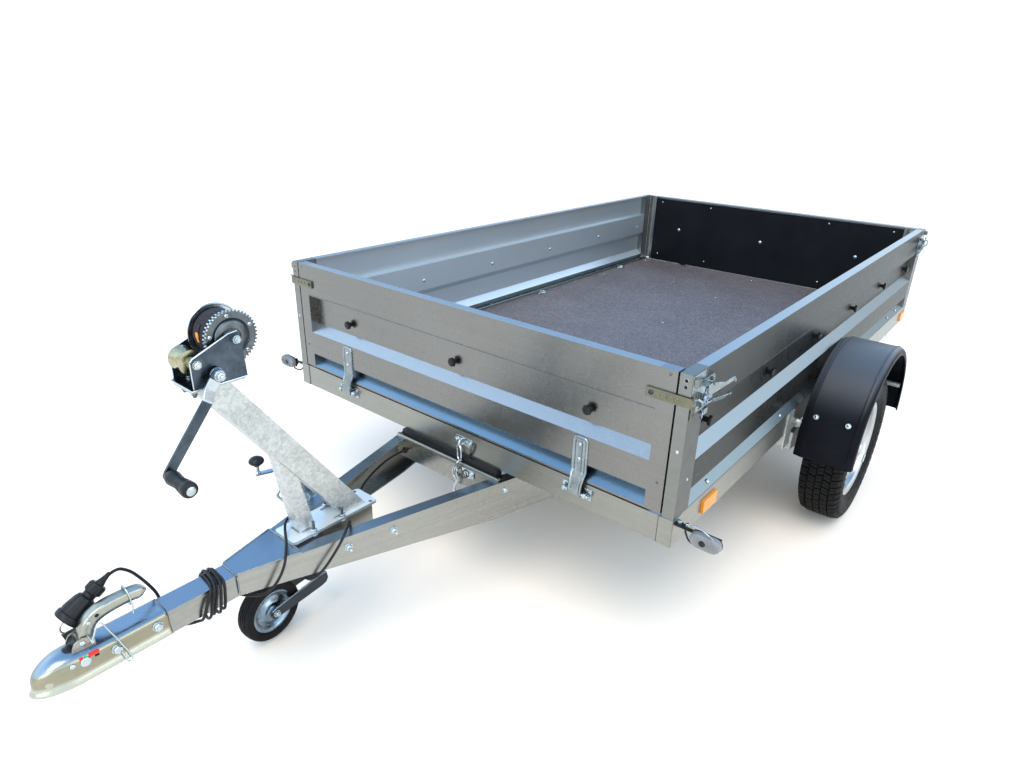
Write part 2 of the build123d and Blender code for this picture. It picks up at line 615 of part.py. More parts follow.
front_panel = end_panel()
save("front_panel", front_panel)
save("front_panel_hinges", both(strap_hinge()))
save("front_panel_straps", both(corner_strap()))
save("tailgate_panel", mirror(front_panel, about=Plane.YZ))
board = block(-HALF_LEN + STILE_DEPTH, -HALF_LEN + STILE_DEPTH + 8, -690, 690,
              PANEL_Z + 2, RIM_Z - 10)
save("tailgate_board", board)
save("tailgate_hinges", mirror(both(strap_hinge()), about=Plane.YZ))
save("tailgate_straps", mirror(both(corner_strap()), about=Plane.YZ))
pins = both(hinge_pin())
save("hinge_pins", Compound(list(pins.solids())
                            + list(mirror(pins, about=Plane.YZ).solids())))


def corner_latch():
    """Front left latch on the side of the post: plate, body and lever."""
    y = HALF_WID
    p = block(1182, 1238, y, y + 3, 806, 872)
    p += block(1192, 1232, y + 3, y + 22, 816, 862)
    p += prism_xy([(1202, y + 20), (1224, y + 20), (1214, y + 40),
                   (1108, y + 44), (1108, y + 40), (1200, y + 30)], 822, 862)
    return p


latches = [corner_latch(), other_side(corner_latch()),
           mirror(corner_latch(), about=Plane.YZ),
           mirror(other_side(corner_latch()), about=Plane.YZ)]
save("corner_latches", Compound(latches))

# ---------------------------------------------------------------------------
# Fenders, as (radius, y) sections, and the stays that carry them
# ---------------------------------------------------------------------------
FENDER_X, FENDER_Z = 45.0, 340.0
FENDER_R, FENDER_T, FENDER_EDGE = 339.0, 4.0, 20.0
FENDER_Y0, FENDER_Y1 = 788.0, 979.0
FENDER_LIP = 28.0


def fender_section(r, y1, edge, lip):
    """Open section from the inner edge, over the top, down to the lip."""
    c = 0.7071
    return (Line((r - 5, FENDER_Y0), (r, FENDER_Y0 + 24))
            + Line((r, FENDER_Y0 + 24), (r, y1 - edge))
            + ThreePointArc((r, y1 - edge),
                            (r - edge + edge * c, y1 - edge + edge * c),
                            (r - edge, y1))
            + Line((r - edge, y1), (r - lip, y1)))


outer = fender_section(FENDER_R, FENDER_Y1, FENDER_EDGE, FENDER_LIP)
inner = fender_section(FENDER_R - FENDER_T, FENDER_Y1 - FENDER_T,
                       FENDER_EDGE - FENDER_T, FENDER_LIP - FENDER_T)
section = make_face(outer + inner
                    + Line(outer @ 1, inner @ 1) + Line(outer @ 0, inner @ 0))
shell = Pos(FENDER_X, 0, FENDER_Z) * revolve(section, Axis.Y, 360)
shell -= block(FENDER_X - 400, FENDER_X + 400, FENDER_Y0 - 1, FENDER_Y1 + 1,
               FENDER_Z - 400, FENDER_Z)
save("left_fender", shell)
save("right_fender", other_side(shell))
# columns: x of the cross tube, rear and front x of the plate on the rail
STAYS = [(345.7, 402.0, 460.0), (-255.7, -370.0, -312.0)]
STAY_Z = 449.4
stays = []
for x, p0, p1 in STAYS:
    stay = rod_y(x, STAY_Z, 9.5, 768, 968)
    stay += block(min(x, p0), max(x, p1), 768, 772, STAY_Z - 9, STAY_Z + 9)
    stay += block(p0, p1, 768, 772, 385, FLOOR_Z)
    stays += [stay, other_side(stay)]
save("fender_stays", Compound(stays))

# ---------------------------------------------------------------------------
# Lamps, reflectors, and the chain that holds the bed down
# ---------------------------------------------------------------------------
LAMP_Y, LAMP_Z = 857.0, 498.0
lamp_face = make_face(
    Line((-20, -20), (20, -20)) + ThreePointArc((20, -20), (40, 0), (20, 20))
    + Line((20, 20), (-20, 20)) + ThreePointArc((-20, 20), (-40, 0),
                                                (-20, -20)))
lamp = Pos(1264, LAMP_Y, LAMP_Z) * extrude(Plane.YZ * lamp_face, 20)
lamp = fillet(lamp.edges().filter_by(lambda e: e.center().X > 1283.5), 4)
save("front_lamps", both(lamp))
arm = prism_xy([(1234, HALF_WID), (1264, HALF_WID), (1264, 872),
                (1258, 872), (1252, 800)], 502, 505) \
    + block(1260, 1264, 822, 890, 482, 514)
save("front_lamp_arms", both(arm))
# columns: middle x, middle z
REFLECTORS = [(1060.0, 473.0), (-1201.0, 473.0)]
reflectors = []
for x, z in REFLECTORS:
    r = block(x - 42, x + 42, HALF_WID, HALF_WID + 7, z - 19, z + 19)
    reflectors += [r, other_side(r)]
save("side_reflectors", Compound(reflectors))
light_board = block(-1258, -1238, -720, 720, 344, BED_Z) \
    - block(-1255, -1237, -717, 717, 347, BED_Z - 3)
save("rear_light_board", light_board)
rear_lamp = block(-1284, -1258, 522, 716, 352, 428)
rear_lamp = fillet(rear_lamp.edges().filter_by(
    lambda e: e.center().X < -1283.5), 6)
save("rear_lamps", both(rear_lamp))
plate = block(-1261, -1258, -260, 260, 350, 430)
save("number_plate", plate)

CHAIN_X, CHAIN_Y = 1304.0, 67.0
chain = block(HALF_LEN, HALF_LEN + 4, CHAIN_Y - 22, CHAIN_Y + 22, 462, 492) \
    + block(HALF_LEN + 4, CHAIN_X + 6, CHAIN_Y - 4, CHAIN_Y + 4, 468, 478)
chain += rod_z(CHAIN_X + 2, CHAIN_Y, 8, 300, 474)
save("bed_lock_chain", chain)
print("ok", ORIGIN_X)
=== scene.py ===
import bpy
import bmesh
import math
import random
from mathutils import Matrix, Vector


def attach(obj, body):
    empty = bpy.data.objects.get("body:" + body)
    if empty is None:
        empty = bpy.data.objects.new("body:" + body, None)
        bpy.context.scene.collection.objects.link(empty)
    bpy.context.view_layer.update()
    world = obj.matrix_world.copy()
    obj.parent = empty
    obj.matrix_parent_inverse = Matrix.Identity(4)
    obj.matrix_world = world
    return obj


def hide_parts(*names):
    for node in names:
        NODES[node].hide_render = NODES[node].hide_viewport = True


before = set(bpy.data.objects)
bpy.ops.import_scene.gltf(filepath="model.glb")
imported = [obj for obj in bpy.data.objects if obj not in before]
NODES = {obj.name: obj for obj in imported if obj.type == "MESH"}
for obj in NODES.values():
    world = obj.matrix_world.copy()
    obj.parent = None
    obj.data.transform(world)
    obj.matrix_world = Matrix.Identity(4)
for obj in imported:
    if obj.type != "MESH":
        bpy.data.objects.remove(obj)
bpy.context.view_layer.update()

scene = bpy.context.scene

# Lengths below are millimetres measured from the middle of the load box at
# ground level; OX moves them to the row's origin.
OX = 575.0


def P(x, y, z):
    return Vector(((x - OX) / 1000.0, y / 1000.0, z / 1000.0))


# ---------------------------------------------------------------------------
# Materials
# ---------------------------------------------------------------------------
class Mat:
    """A Principled material with helpers for procedural detail."""

    def __init__(self, name, metallic=0.0, roughness=0.5, color=(0.5, 0.5, 0.5)):
        self.m = bpy.data.materials.new(name)
        self.m.use_nodes = True
        self.t = self.m.node_tree
        self.b = self.t.nodes["Principled BSDF"]
        self.b.inputs["Metallic"].default_value = metallic
        self.b.inputs["Roughness"].default_value = roughness
        self.b.inputs["Base Color"].default_value = (*color, 1)
        self.co = self.t.nodes.new("ShaderNodeTexCoord").outputs["Object"]
        self.last_bump = None

    def link(self, a, b):
        self.t.links.new(a, b)

    def mapping(self, scale=(1, 1, 1), rot=(0, 0, 0)):
        n = self.t.nodes.new("ShaderNodeMapping")
        n.inputs["Scale"].default_value = scale
        n.inputs["Rotation"].default_value = rot
        self.link(self.co, n.inputs["Vector"])
        return n.outputs["Vector"]

    def noise(self, scale, detail=4.0, rough=0.55, vec=None, distort=0.0):
        n = self.t.nodes.new("ShaderNodeTexNoise")
        n.inputs["Scale"].default_value = scale
        n.inputs["Detail"].default_value = detail
        n.inputs["Roughness"].default_value = rough
        n.inputs["Distortion"].default_value = distort
        self.link(vec if vec is not None else self.co, n.inputs["Vector"])
        return n.outputs["Fac"]

    def voronoi(self, scale, feature="F1", vec=None, out="Distance", rand=1.0):
        n = self.t.nodes.new("ShaderNodeTexVoronoi")
        n.feature = feature
        n.inputs["Scale"].default_value = scale
        n.inputs["Randomness"].default_value = rand
        self.link(vec if vec is not None else self.co, n.inputs["Vector"])
        return n.outputs[out]

    def wave(self, scale, axis="X", distort=0.0, vec=None, kind="BANDS", profile="SIN"):
        n = self.t.nodes.new("ShaderNodeTexWave")
        n.wave_type = kind
        n.wave_profile = profile
        n.bands_direction = axis
        n.inputs["Scale"].default_value = scale
        n.inputs["Distortion"].default_value = distort
        self.link(vec if vec is not None else self.co, n.inputs["Vector"])
        return n.outputs["Fac"]

    def ramp(self, fac, stops, linear=True):
        n = self.t.nodes.new("ShaderNodeValToRGB")
        if not linear:
            n.color_ramp.interpolation = "CONSTANT"
        e = n.color_ramp.elements
        while len(e) < len(stops):
            e.new(0.5)
        for k, (pos, c) in enumerate(stops):
            e[k].position = pos
            e[k].color = (*c, 1) if len(c) == 3 else c
        self.link(fac, n.inputs["Fac"])
        return n.outputs["Color"]

    def mix(self, a, b, fac, mode="MIX"):
        n = self.t.nodes.new("ShaderNodeMix")
        n.data_type = "RGBA"
        n.blend_type = mode
        for sock, v in ((n.inputs[0], fac), (n.inputs[6], a), (n.inputs[7], b)):
            if isinstance(v, (int, float)):
                sock.default_value = v
            elif isinstance(v, tuple):
                sock.default_value = (*v, 1)
            else:
                self.link(v, sock)
        return n.outputs[2]

    def math(self, op, a, b=None):
        n = self.t.nodes.new("ShaderNodeMath")
        n.operation = op
        for i, v in enumerate((a, b)):
            if v is None:
                continue
            if isinstance(v, (int, float)):
                n.inputs[i].default_value = v
            else:
                self.link(v, n.inputs[i])
        return n.outputs[0]

    def rng(self, fac, lo, hi, a=0.0, b=1.0):
        n = self.t.nodes.new("ShaderNodeMapRange")
        n.inputs["From Min"].default_value = a
        n.inputs["From Max"].default_value = b
        n.inputs["To Min"].default_value = lo
        n.inputs["To Max"].default_value = hi
        self.link(fac, n.inputs["Value"])
        return n.outputs["Result"]

    def color(self, sock):
        self.link(sock, self.b.inputs["Base Color"])
        return self

    def rough(self, sock):
        self.link(sock, self.b.inputs["Roughness"])
        return self

    def bump(self, height, strength=0.3, dist=0.001):
        n = self.t.nodes.new("ShaderNodeBump")
        n.inputs["Strength"].default_value = strength
        n.inputs["Distance"].default_value = dist
        self.link(height, n.inputs["Height"])
        if self.last_bump is not None:
            self.link(self.last_bump, n.inputs["Normal"])
        self.last_bump = n.outputs["Normal"]
        self.link(self.last_bump, self.b.inputs["Normal"])
        return self


def sheet_metal(name, lo, hi, r0=0.2, r1=0.36, grain=0.35, facing=None, inside=None,
                metallic=1.0, in_metallic=0.75, in_rough=0.42,
                up_face_light_paint=(0.32, 0.34, 0.36), foot=(0.15, 0.23, 0.31),
                above=None, flank_shade_paint=None, edge_tint=None):
    """Strip-galvanised sheet: soft clouds, rolling streaks, faint small spangle.

    facing=(axis, sign) marks the outer side; the other side is the duller one, and its lighter inside colour is
    painted light.
    On the outer side, upward faces take a painted sky reflection, with their own tint low on the part.
    The optional top colour is a painted reflection on upward faces; the optional flank colour is painted shade on
    faces turned to ±Y.
    """
    k = Mat(name, metallic, 0.3)
    cloud = k.noise(1.7, 4, 0.55)
    streak = k.noise(1.0, 3, 0.6, vec=k.mapping((2.2, 2.2, 90)))
    cells = k.voronoi(120, out="Color")
    base = k.ramp(cloud, [(0.25, lo), (0.75, hi)])
    base = k.mix(base, k.ramp(streak, [(0.3, (0.46, 0.46, 0.46)),
                                       (0.7, (0.54, 0.54, 0.54))]), grain, "OVERLAY")
    base = k.mix(base, k.ramp(cells, [(0.0, (0.45, 0.45, 0.45)),
                                      (1.0, (0.55, 0.55, 0.55))]), grain * 0.5, "OVERLAY")
    fine = k.noise(30, 5, 0.6)
    rough = k.rng(k.math("ADD", k.math("MULTIPLY", fine, 0.5),
                         k.math("MULTIPLY", cloud, 0.5)), r0, r1, 0.3, 0.7)
    if facing is not None:
        axis, sign = facing
        sep = k.t.nodes.new("ShaderNodeSeparateXYZ")
        tc = k.t.nodes.new("ShaderNodeTexCoord")
        k.link(tc.outputs["Normal"], sep.inputs[0])
        n = k.math("MULTIPLY", sep.outputs[axis], float(-sign))
        inner = k.math("GREATER_THAN", n, 0.12)
        # painted light: the inner side takes the lighter, bluish inside colour
        base = k.mix(base, inside, inner)
        k.link(k.rng(inner, metallic, in_metallic), k.b.inputs["Metallic"])
        rough = k.math("ADD", rough, k.math("MULTIPLY", inner, in_rough - r1))
        # painted sky reflection: upward faces of the outer side take a bluish tint, and a separate one where the
        # part is low
        up = k.math("GREATER_THAN", sep.outputs["Z"], 0.35)
        up = k.math("MULTIPLY", up, k.math("SUBTRACT", 1.0, inner))
        gen = k.t.nodes.new("ShaderNodeSeparateXYZ")
        k.link(tc.outputs["Generated"], gen.inputs[0])
        low = k.math("LESS_THAN", gen.outputs["Z"], 0.2)
        base = k.mix(base, k.mix(up_face_light_paint, foot, low), up)
    # painted reflection: upward faces blend to the given top colour
    if above is not None:
        sep = k.t.nodes.new("ShaderNodeSeparateXYZ")
        k.link(k.t.nodes.new("ShaderNodeTexCoord").outputs["Normal"], sep.inputs[0])
        base = k.mix(base, above, k.rng(sep.outputs["Z"], 0.0, 1.0, 0.55, 0.85))
    # painted shade: faces turned to ±Y blend to the darker flank colour
    if flank_shade_paint is not None:
        sep = k.t.nodes.new("ShaderNodeSeparateXYZ")
        k.link(k.t.nodes.new("ShaderNodeTexCoord").outputs["Normal"], sep.inputs[0])
        turned = k.math("ABSOLUTE", sep.outputs["Y"], 0.0)
        base = k.mix(base, flank_shade_paint, k.rng(turned, 0.0, 1.0, 0.5, 0.8))
    if edge_tint is not None:
        k.b.inputs["Specular Tint"].default_value = (*edge_tint, 1.0)
    k.color(base)
    k.rough(rough)
    k.bump(k.noise(1.1, 1, 0.4), 0.12, 0.003)
    k.bump(k.noise(900, 2, 0.5), 0.01, 0.0001)
    return k.m


def dip_metal(name, lo, hi, r0=0.3, r1=0.5, cell=70, above=None):
    """Hot-dip galvanised steel: large frosty crystals, drips and stains."""
    k = Mat(name, 0.82, 0.4)
    warp = k.noise(30, 3, 0.5)
    cells = k.voronoi(cell, out="Color")
    grey = k.ramp(cells, [(0.1, (0.38, 0.38, 0.38)), (0.9, (0.66, 0.66, 0.66))])
    cloud = k.noise(9, 6, 0.65, distort=0.6)
    base = k.ramp(cloud, [(0.3, lo), (0.7, hi)])
    base = k.mix(base, grey, 0.55, "OVERLAY")
    scr = k.voronoi(40, "DISTANCE_TO_EDGE", vec=k.mapping((1, 1, 3.5), (0.4, 0.6, 0.2)))
    base = k.mix(base, k.ramp(scr, [(0.0, (0.8, 0.8, 0.8)), (0.03, (0.5, 0.5, 0.5))]),
                 0.35, "OVERLAY")
    # painted reflection: upward faces blend to the given top colour
    if above is not None:
        sep = k.t.nodes.new("ShaderNodeSeparateXYZ")
        k.link(k.t.nodes.new("ShaderNodeTexCoord").outputs["Normal"], sep.inputs[0])
        base = k.mix(base, above, k.rng(sep.outputs["Z"], 0.0, 0.85, 0.55, 0.85))
    k.color(base)
    k.rough(k.rng(k.math("ADD", k.math("MULTIPLY", warp, 0.5),
                         k.math("MULTIPLY", cloud, 0.5)), r0, r1, 0.32, 0.68))
    k.bump(cloud, 0.22, 0.002)
    k.bump(k.noise(160, 4, 0.6), 0.12, 0.0006)
    return k.m


def zinc(name, lo, hi, r0=0.22, r1=0.42, scale=26):
    """Passivated plated steel with colour clouds and small scratches."""
    k = Mat(name, 1.0, 0.3)
    cloud = k.noise(scale, 5, 0.6, distort=0.4)
    k.color(k.ramp(cloud, [(0.28, lo), (0.72, hi)]))
    k.rough(k.rng(k.noise(70, 5, 0.6), r0, r1, 0.3, 0.7))
    k.bump(k.noise(300, 4, 0.6), 0.10, 0.0004)
    return k.m


def plastic(name, color, r0, r1, grain=900, strength=0.12, coat=0.0, spec=0.25):
    k = Mat(name, 0.0, r0)
    n = k.noise(6, 5, 0.6)
    hi = tuple(min(1, c * 1.7 + 0.006) for c in color)
    k.color(k.ramp(n, [(0.3, color), (0.8, hi)]))
    k.rough(k.rng(k.noise(18, 5, 0.6), r0, r1, 0.3, 0.7))
    k.bump(k.noise(grain, 2, 0.5), strength, 0.0004)
    k.b.inputs["Coat Weight"].default_value = coat
    k.b.inputs["Specular IOR Level"].default_value = spec
    return k.m


# The inner faces share a lighter bluish colour: painted light. The side sheets are a darker copy of the front and
# rear sheets: painted shade. Their upward faces take paler painted sky reflections.
SHEET_IN_LIGHT_PAINT = (0.56, 0.60, 0.63)
SHEET_F = sheet_metal("galv_sheet_front", (0.205, 0.200, 0.188), (0.245, 0.240, 0.228), 0.22, 0.34,
                      facing=("X", 1), inside=SHEET_IN_LIGHT_PAINT)
SHEET_T = sheet_metal("galv_sheet_rear", (0.205, 0.200, 0.188), (0.245, 0.240, 0.228), 0.22, 0.34,
                      facing=("X", -1), inside=SHEET_IN_LIGHT_PAINT)
SHEET_L = sheet_metal("galv_sheet_left", (0.098, 0.102, 0.102), (0.136, 0.139, 0.137), 0.22, 0.34,
                      facing=("Y", 1), inside=SHEET_IN_LIGHT_PAINT,
                      foot=(0.25, 0.28, 0.29), up_face_light_paint=(0.29, 0.31, 0.33),
                      edge_tint=(0.56, 0.565, 0.56))
SHEET_R = sheet_metal("galv_sheet_right", (0.098, 0.102, 0.102), (0.136, 0.139, 0.137), 0.22, 0.34,
                      facing=("Y", -1), inside=SHEET_IN_LIGHT_PAINT,
                      foot=(0.25, 0.28, 0.29), up_face_light_paint=(0.29, 0.31, 0.33),
                      edge_tint=(0.56, 0.565, 0.56))
RIM = sheet_metal("galv_edge", (0.38, 0.41, 0.42), (0.45, 0.48, 0.49), 0.24, 0.36)
FRAME = sheet_metal("galv_frame", (0.26, 0.26, 0.235), (0.34, 0.34, 0.31), 0.26, 0.42, 0.6)
# upward faces of the drawbar and the coupling shell tinted blue: painted sky reflection
RAILS = sheet_metal("galv_drawbar", (0.27, 0.27, 0.25), (0.36, 0.36, 0.335), 0.22, 0.36, 0.8,
                    above=(0.24, 0.30, 0.36))
COUPLING = sheet_metal("coupling_zinc", (0.235, 0.22, 0.155), (0.33, 0.31, 0.23), 0.20, 0.32,
                       0.6, above=(0.26, 0.33, 0.40))
STRAPZ = zinc("hinge_zinc", (0.20, 0.235, 0.25), (0.33, 0.37, 0.385), 0.18, 0.34)
# posts: faces turned to ±Y darker, painted shade
POST = sheet_metal("galv_post", (0.20, 0.205, 0.19), (0.25, 0.255, 0.24), 0.26, 0.40, 0.4,
                   flank_shade_paint=(0.105, 0.11, 0.108))
DIP = dip_metal("galv_dip", (0.40, 0.415, 0.40), (0.52, 0.535, 0.52), cell=150)
DIPLITE = dip_metal("galv_dip_light", (0.62, 0.63, 0.61), (0.78, 0.79, 0.77), cell=150)
# foot plate: upward faces nearly white, a painted highlight
DIPFOOT_TOP_HIGHLIGHT = dip_metal("galv_dip_foot_top_highlight", (0.42, 0.43, 0.42), (0.54, 0.55, 0.54), cell=150,
                    above=(0.98, 0.98, 0.98))
ZINC = zinc("bright_zinc", (0.42, 0.47, 0.50), (0.58, 0.63, 0.65), 0.14, 0.3)
BLUE = zinc("blue_zinc", (0.14, 0.19, 0.24), (0.30, 0.38, 0.45), 0.2, 0.38)
BLACKZINC = zinc("black_zinc", (0.035, 0.045, 0.06), (0.10, 0.125, 0.155), 0.22, 0.42)
GEAR = zinc("gear_zinc", (0.085, 0.10, 0.105), (0.17, 0.185, 0.19), 0.26, 0.42, 40)
ARM = zinc("crank_zinc", (0.045, 0.058, 0.072), (0.095, 0.12, 0.14), 0.22, 0.40)
YELLOW = zinc("yellow_zinc", (0.30, 0.30, 0.25), (0.44, 0.435, 0.38), 0.2, 0.4, 18)
STRAPY = zinc("strap_zinc", (0.145, 0.142, 0.098), (0.225, 0.22, 0.16), 0.2, 0.4, 18)
GOLD = zinc("gold_zinc", (0.30, 0.28, 0.17), (0.50, 0.47, 0.33), 0.18, 0.34, 30)
OLIVE = zinc("olive_zinc", (0.34, 0.33, 0.27), (0.50, 0.49, 0.41), 0.26, 0.4, 12)
RIMPAINT = zinc("rim_silver", (0.40, 0.41, 0.42), (0.53, 0.54, 0.55), 0.26, 0.38, 9)
DARKPAINT = plastic("dark_paint", (0.012, 0.015, 0.020), 0.32, 0.5, 500, 0.08, 0.1, 0.3)
BLACKPL = plastic("black_plastic", (0.004, 0.004, 0.005), 0.34, 0.5, 1100, 0.14)
FENDERPL = plastic("fender_plastic", (0.0015, 0.0020, 0.0040), 0.34, 0.46, 1300, 0.10, 0.0, 0.14)


def painted_skirt_highlight(m, z0, z1, tint):
    """Pressed skirt with a painted highlight: colour blends to a light tint towards the bottom of the part."""
    t = m.node_tree
    b = [n for n in t.nodes if n.type == "BSDF_PRINCIPLED"][0]
    sep = t.nodes.new("ShaderNodeSeparateXYZ")
    t.links.new(t.nodes.new("ShaderNodeTexCoord").outputs["Generated"], sep.inputs[0])
    ramp = t.nodes.new("ShaderNodeMapRange")
    ramp.inputs["From Min"].default_value = z1
    ramp.inputs["From Max"].default_value = z0
    t.links.new(sep.outputs["Z"], ramp.inputs["Value"])
    mix = t.nodes.new("ShaderNodeMix")
    mix.data_type = "RGBA"
    t.links.new(ramp.outputs["Result"], mix.inputs[0])
    old = b.inputs["Base Color"]
    t.links.new(old.links[0].from_socket, mix.inputs[6])
    mix.inputs[7].default_value = (*tint, 1.0)
    t.links.new(mix.outputs[2], old)
    return m


# painted highlight along the lower skirt of the coupling shell
painted_skirt_highlight(COUPLING, 0.20, 0.30, (0.46, 0.47, 0.40))


def painted_sky_reflection(m, low, high, tint):
    """Plastic with a painted sky reflection on its upward faces: a paler bluish tint and a higher specular level
    there.
    """
    t = m.node_tree
    b = [n for n in t.nodes if n.type == "BSDF_PRINCIPLED"][0]
    sep = t.nodes.new("ShaderNodeSeparateXYZ")
    t.links.new(t.nodes.new("ShaderNodeTexCoord").outputs["Normal"], sep.inputs[0])
    ramp = t.nodes.new("ShaderNodeMapRange")
    ramp.interpolation_type = "SMOOTHSTEP"
    ramp.inputs["From Min"].default_value = 0.42
    ramp.inputs["From Max"].default_value = 1.0
    t.links.new(sep.outputs["Z"], ramp.inputs["Value"])
    gloss = t.nodes.new("ShaderNodeMapRange")
    gloss.inputs["To Min"].default_value = low
    gloss.inputs["To Max"].default_value = high
    t.links.new(ramp.outputs["Result"], gloss.inputs["Value"])
    t.links.new(gloss.outputs["Result"], b.inputs["Specular IOR Level"])
    mix = t.nodes.new("ShaderNodeMix")
    mix.data_type = "RGBA"
    t.links.new(ramp.outputs["Result"], mix.inputs[0])
    old = b.inputs["Base Color"]
    if old.is_linked:
        t.links.new(old.links[0].from_socket, mix.inputs[6])
    else:
        mix.inputs[6].default_value = old.default_value
    mix.inputs[7].default_value = (*tint, 1.0)
    t.links.new(mix.outputs[2], old)
    return m


# fender tops: painted sky reflection
painted_sky_reflection(FENDERPL, 0.05, 0.50, (0.055, 0.064, 0.080))
KNOBPL = plastic("knob_plastic", (0.004, 0.004, 0.005), 0.26, 0.42, 800, 0.08)
# dark fill for holes and recesses: painted shade
HOLE_SHADE = plastic("hole_painted_shade", (0.006, 0.006, 0.006), 0.7, 0.9, 400, 0.1)
REDPL = plastic("red_mark", (0.55, 0.02, 0.015), 0.35, 0.5, 600, 0.05)
GREENPL = plastic("green_mark", (0.02, 0.32, 0.12), 0.35, 0.5, 600, 0.05)
ORANGE = plastic("orange_webbing", (0.75, 0.22, 0.03), 0.6, 0.8, 500, 0.4)
PLATEPL = plastic("plate_white", (0.72, 0.72, 0.70), 0.3, 0.45, 700, 0.05)


def rubber_material():
    k = Mat("tyre_rubber", 0.0, 0.7)
    n = k.noise(14, 6, 0.65)
    k.color(k.ramp(n, [(0.3, (0.0035, 0.0035, 0.004)), (0.75, (0.010, 0.010, 0.010))]))
    k.rough(k.rng(k.noise(60, 4, 0.6), 0.5, 0.75, 0.3, 0.7))
    k.bump(k.noise(500, 4, 0.6), 0.25, 0.0006)
    k.b.inputs["Specular IOR Level"].default_value = 0.18
    return k.m


def lead_material():
    k = Mat("lead_sheath", 0.0, 0.4)
    k.color(k.ramp(k.noise(25, 4, 0.6), [(0.3, (0.010, 0.010, 0.011)),
                                         (0.8, (0.022, 0.022, 0.024))]))
    k.rough(k.rng(k.noise(120, 4, 0.6), 0.32, 0.5, 0.3, 0.7))
    k.bump(k.noise(700, 2, 0.5), 0.1, 0.0003)
    return k.m


def floor_material():
    """Film-faced plywood with its wire-mesh print and pale speckle."""
    k = Mat("floor_film", 0.0, 0.5)
    cloud = k.noise(3.2, 6, 0.62)
    base = k.ramp(cloud, [(0.3, (0.062, 0.052, 0.056)), (0.7, (0.098, 0.084, 0.088))])
    speck = k.noise(230, 3, 0.75)
    dots = k.ramp(speck, [(0.53, (0, 0, 0)), (0.66, (1, 1, 1))])
    base = k.mix(base, (0.40, 0.35, 0.36), k.math("MULTIPLY", dots, 0.75))
    mesh_x = k.wave(52, "DIAGONAL", 0.15)
    base = k.mix(base, k.ramp(mesh_x, [(0.0, (0.40, 0.40, 0.40)),
                                       (1.0, (0.58, 0.58, 0.58))]), 0.5, "OVERLAY")
    k.color(base)
    k.rough(k.rng(k.noise(40, 5, 0.6), 0.42, 0.62, 0.3, 0.7))
    k.bump(k.voronoi(260, out="Distance"), 0.5, 0.0008)
    k.bump(speck, 0.3, 0.0008)
    return k.m


def board_material():
    k = Mat("board_black", 0.0, 0.35)
    cloud = k.noise(5, 6, 0.62)
    k.color(k.ramp(cloud, [(0.3, (0.003, 0.004, 0.006)), (0.75, (0.007, 0.008, 0.010))]))
    k.rough(k.rng(k.noise(24, 6, 0.65), 0.30, 0.46, 0.3, 0.7))
    k.bump(k.noise(160, 4, 0.6), 0.08, 0.0003)
    k.b.inputs["Specular IOR Level"].default_value = 0.14
    return k.m


def lens_material(name, color, rib_axis="Y", ribs=90, alpha=None, rough=0.14):
    k = Mat(name, 0.0, rough, color)
    hi = tuple(min(1.0, c * 1.15 + 0.02) for c in color)
    k.color(k.ramp(k.noise(40, 3, 0.5), [(0.3, color), (0.8, hi)]))
    k.rough(k.rng(k.noise(90, 3, 0.5), rough * 0.7, rough * 1.6, 0.3, 0.7))
    k.bump(k.wave(ribs, rib_axis), 0.45, 0.0012)
    k.b.inputs["Coat Weight"].default_value = 0.6
    k.b.inputs["Coat Roughness"].default_value = 0.08
    if alpha is not None:
        k.b.inputs["Transmission Weight"].default_value = alpha
    return k.m


def prism_lens(name, color, cell=170):
    k = Mat(name, 0.0, 0.2, color)
    cells = k.voronoi(cell, rand=0.0, out="Distance")
    hi = tuple(min(1.0, c * 1.2 + 0.03) for c in color)
    lo = tuple(c * 0.72 for c in color)
    k.color(k.ramp(cells, [(0.1, hi), (0.6, lo)]))
    k.rough(k.rng(k.noise(60, 3, 0.5), 0.14, 0.3, 0.3, 0.7))
    k.bump(cells, 0.4, 0.0010)
    k.b.inputs["Coat Weight"].default_value = 0.15
    k.b.inputs["Coat Roughness"].default_value = 0.10
    k.b.inputs["Specular IOR Level"].default_value = 0.3
    return k.m


def web_material():
    k = Mat("strap_web", 0.0, 0.7)
    weave = k.wave(420, "Y", 0.0)
    k.color(k.ramp(weave, [(0.0, (0.003, 0.003, 0.006)), (1.0, (0.010, 0.008, 0.016))]))
    k.b.inputs["Specular IOR Level"].default_value = 0.2
    k.rough(k.rng(k.noise(90, 4, 0.6), 0.6, 0.8, 0.3, 0.7))
    k.bump(weave, 0.5, 0.0006)
    k.bump(k.noise(600, 3, 0.6), 0.2, 0.0004)
    k.b.inputs["Sheen Weight"].default_value = 0.08
    return k.m


RUBBER = rubber_material()
LEAD = lead_material()
for soft, level in ((RUBBER, 0.12), (LEAD, 0.16)):
    for node in soft.node_tree.nodes:
        if node.type == "BSDF_PRINCIPLED":
            node.inputs["Specular IOR Level"].default_value = level
FLOORMAT = floor_material()
BOARD = board_material()
AMBER = prism_lens("amber_lens", (0.80, 0.26, 0.002))
RED = prism_lens("red_lens", (0.55, 0.01, 0.01), 120)
CLEAR = lens_material("clear_lens", (0.14, 0.145, 0.15), "Y", 120)
WEB = web_material()


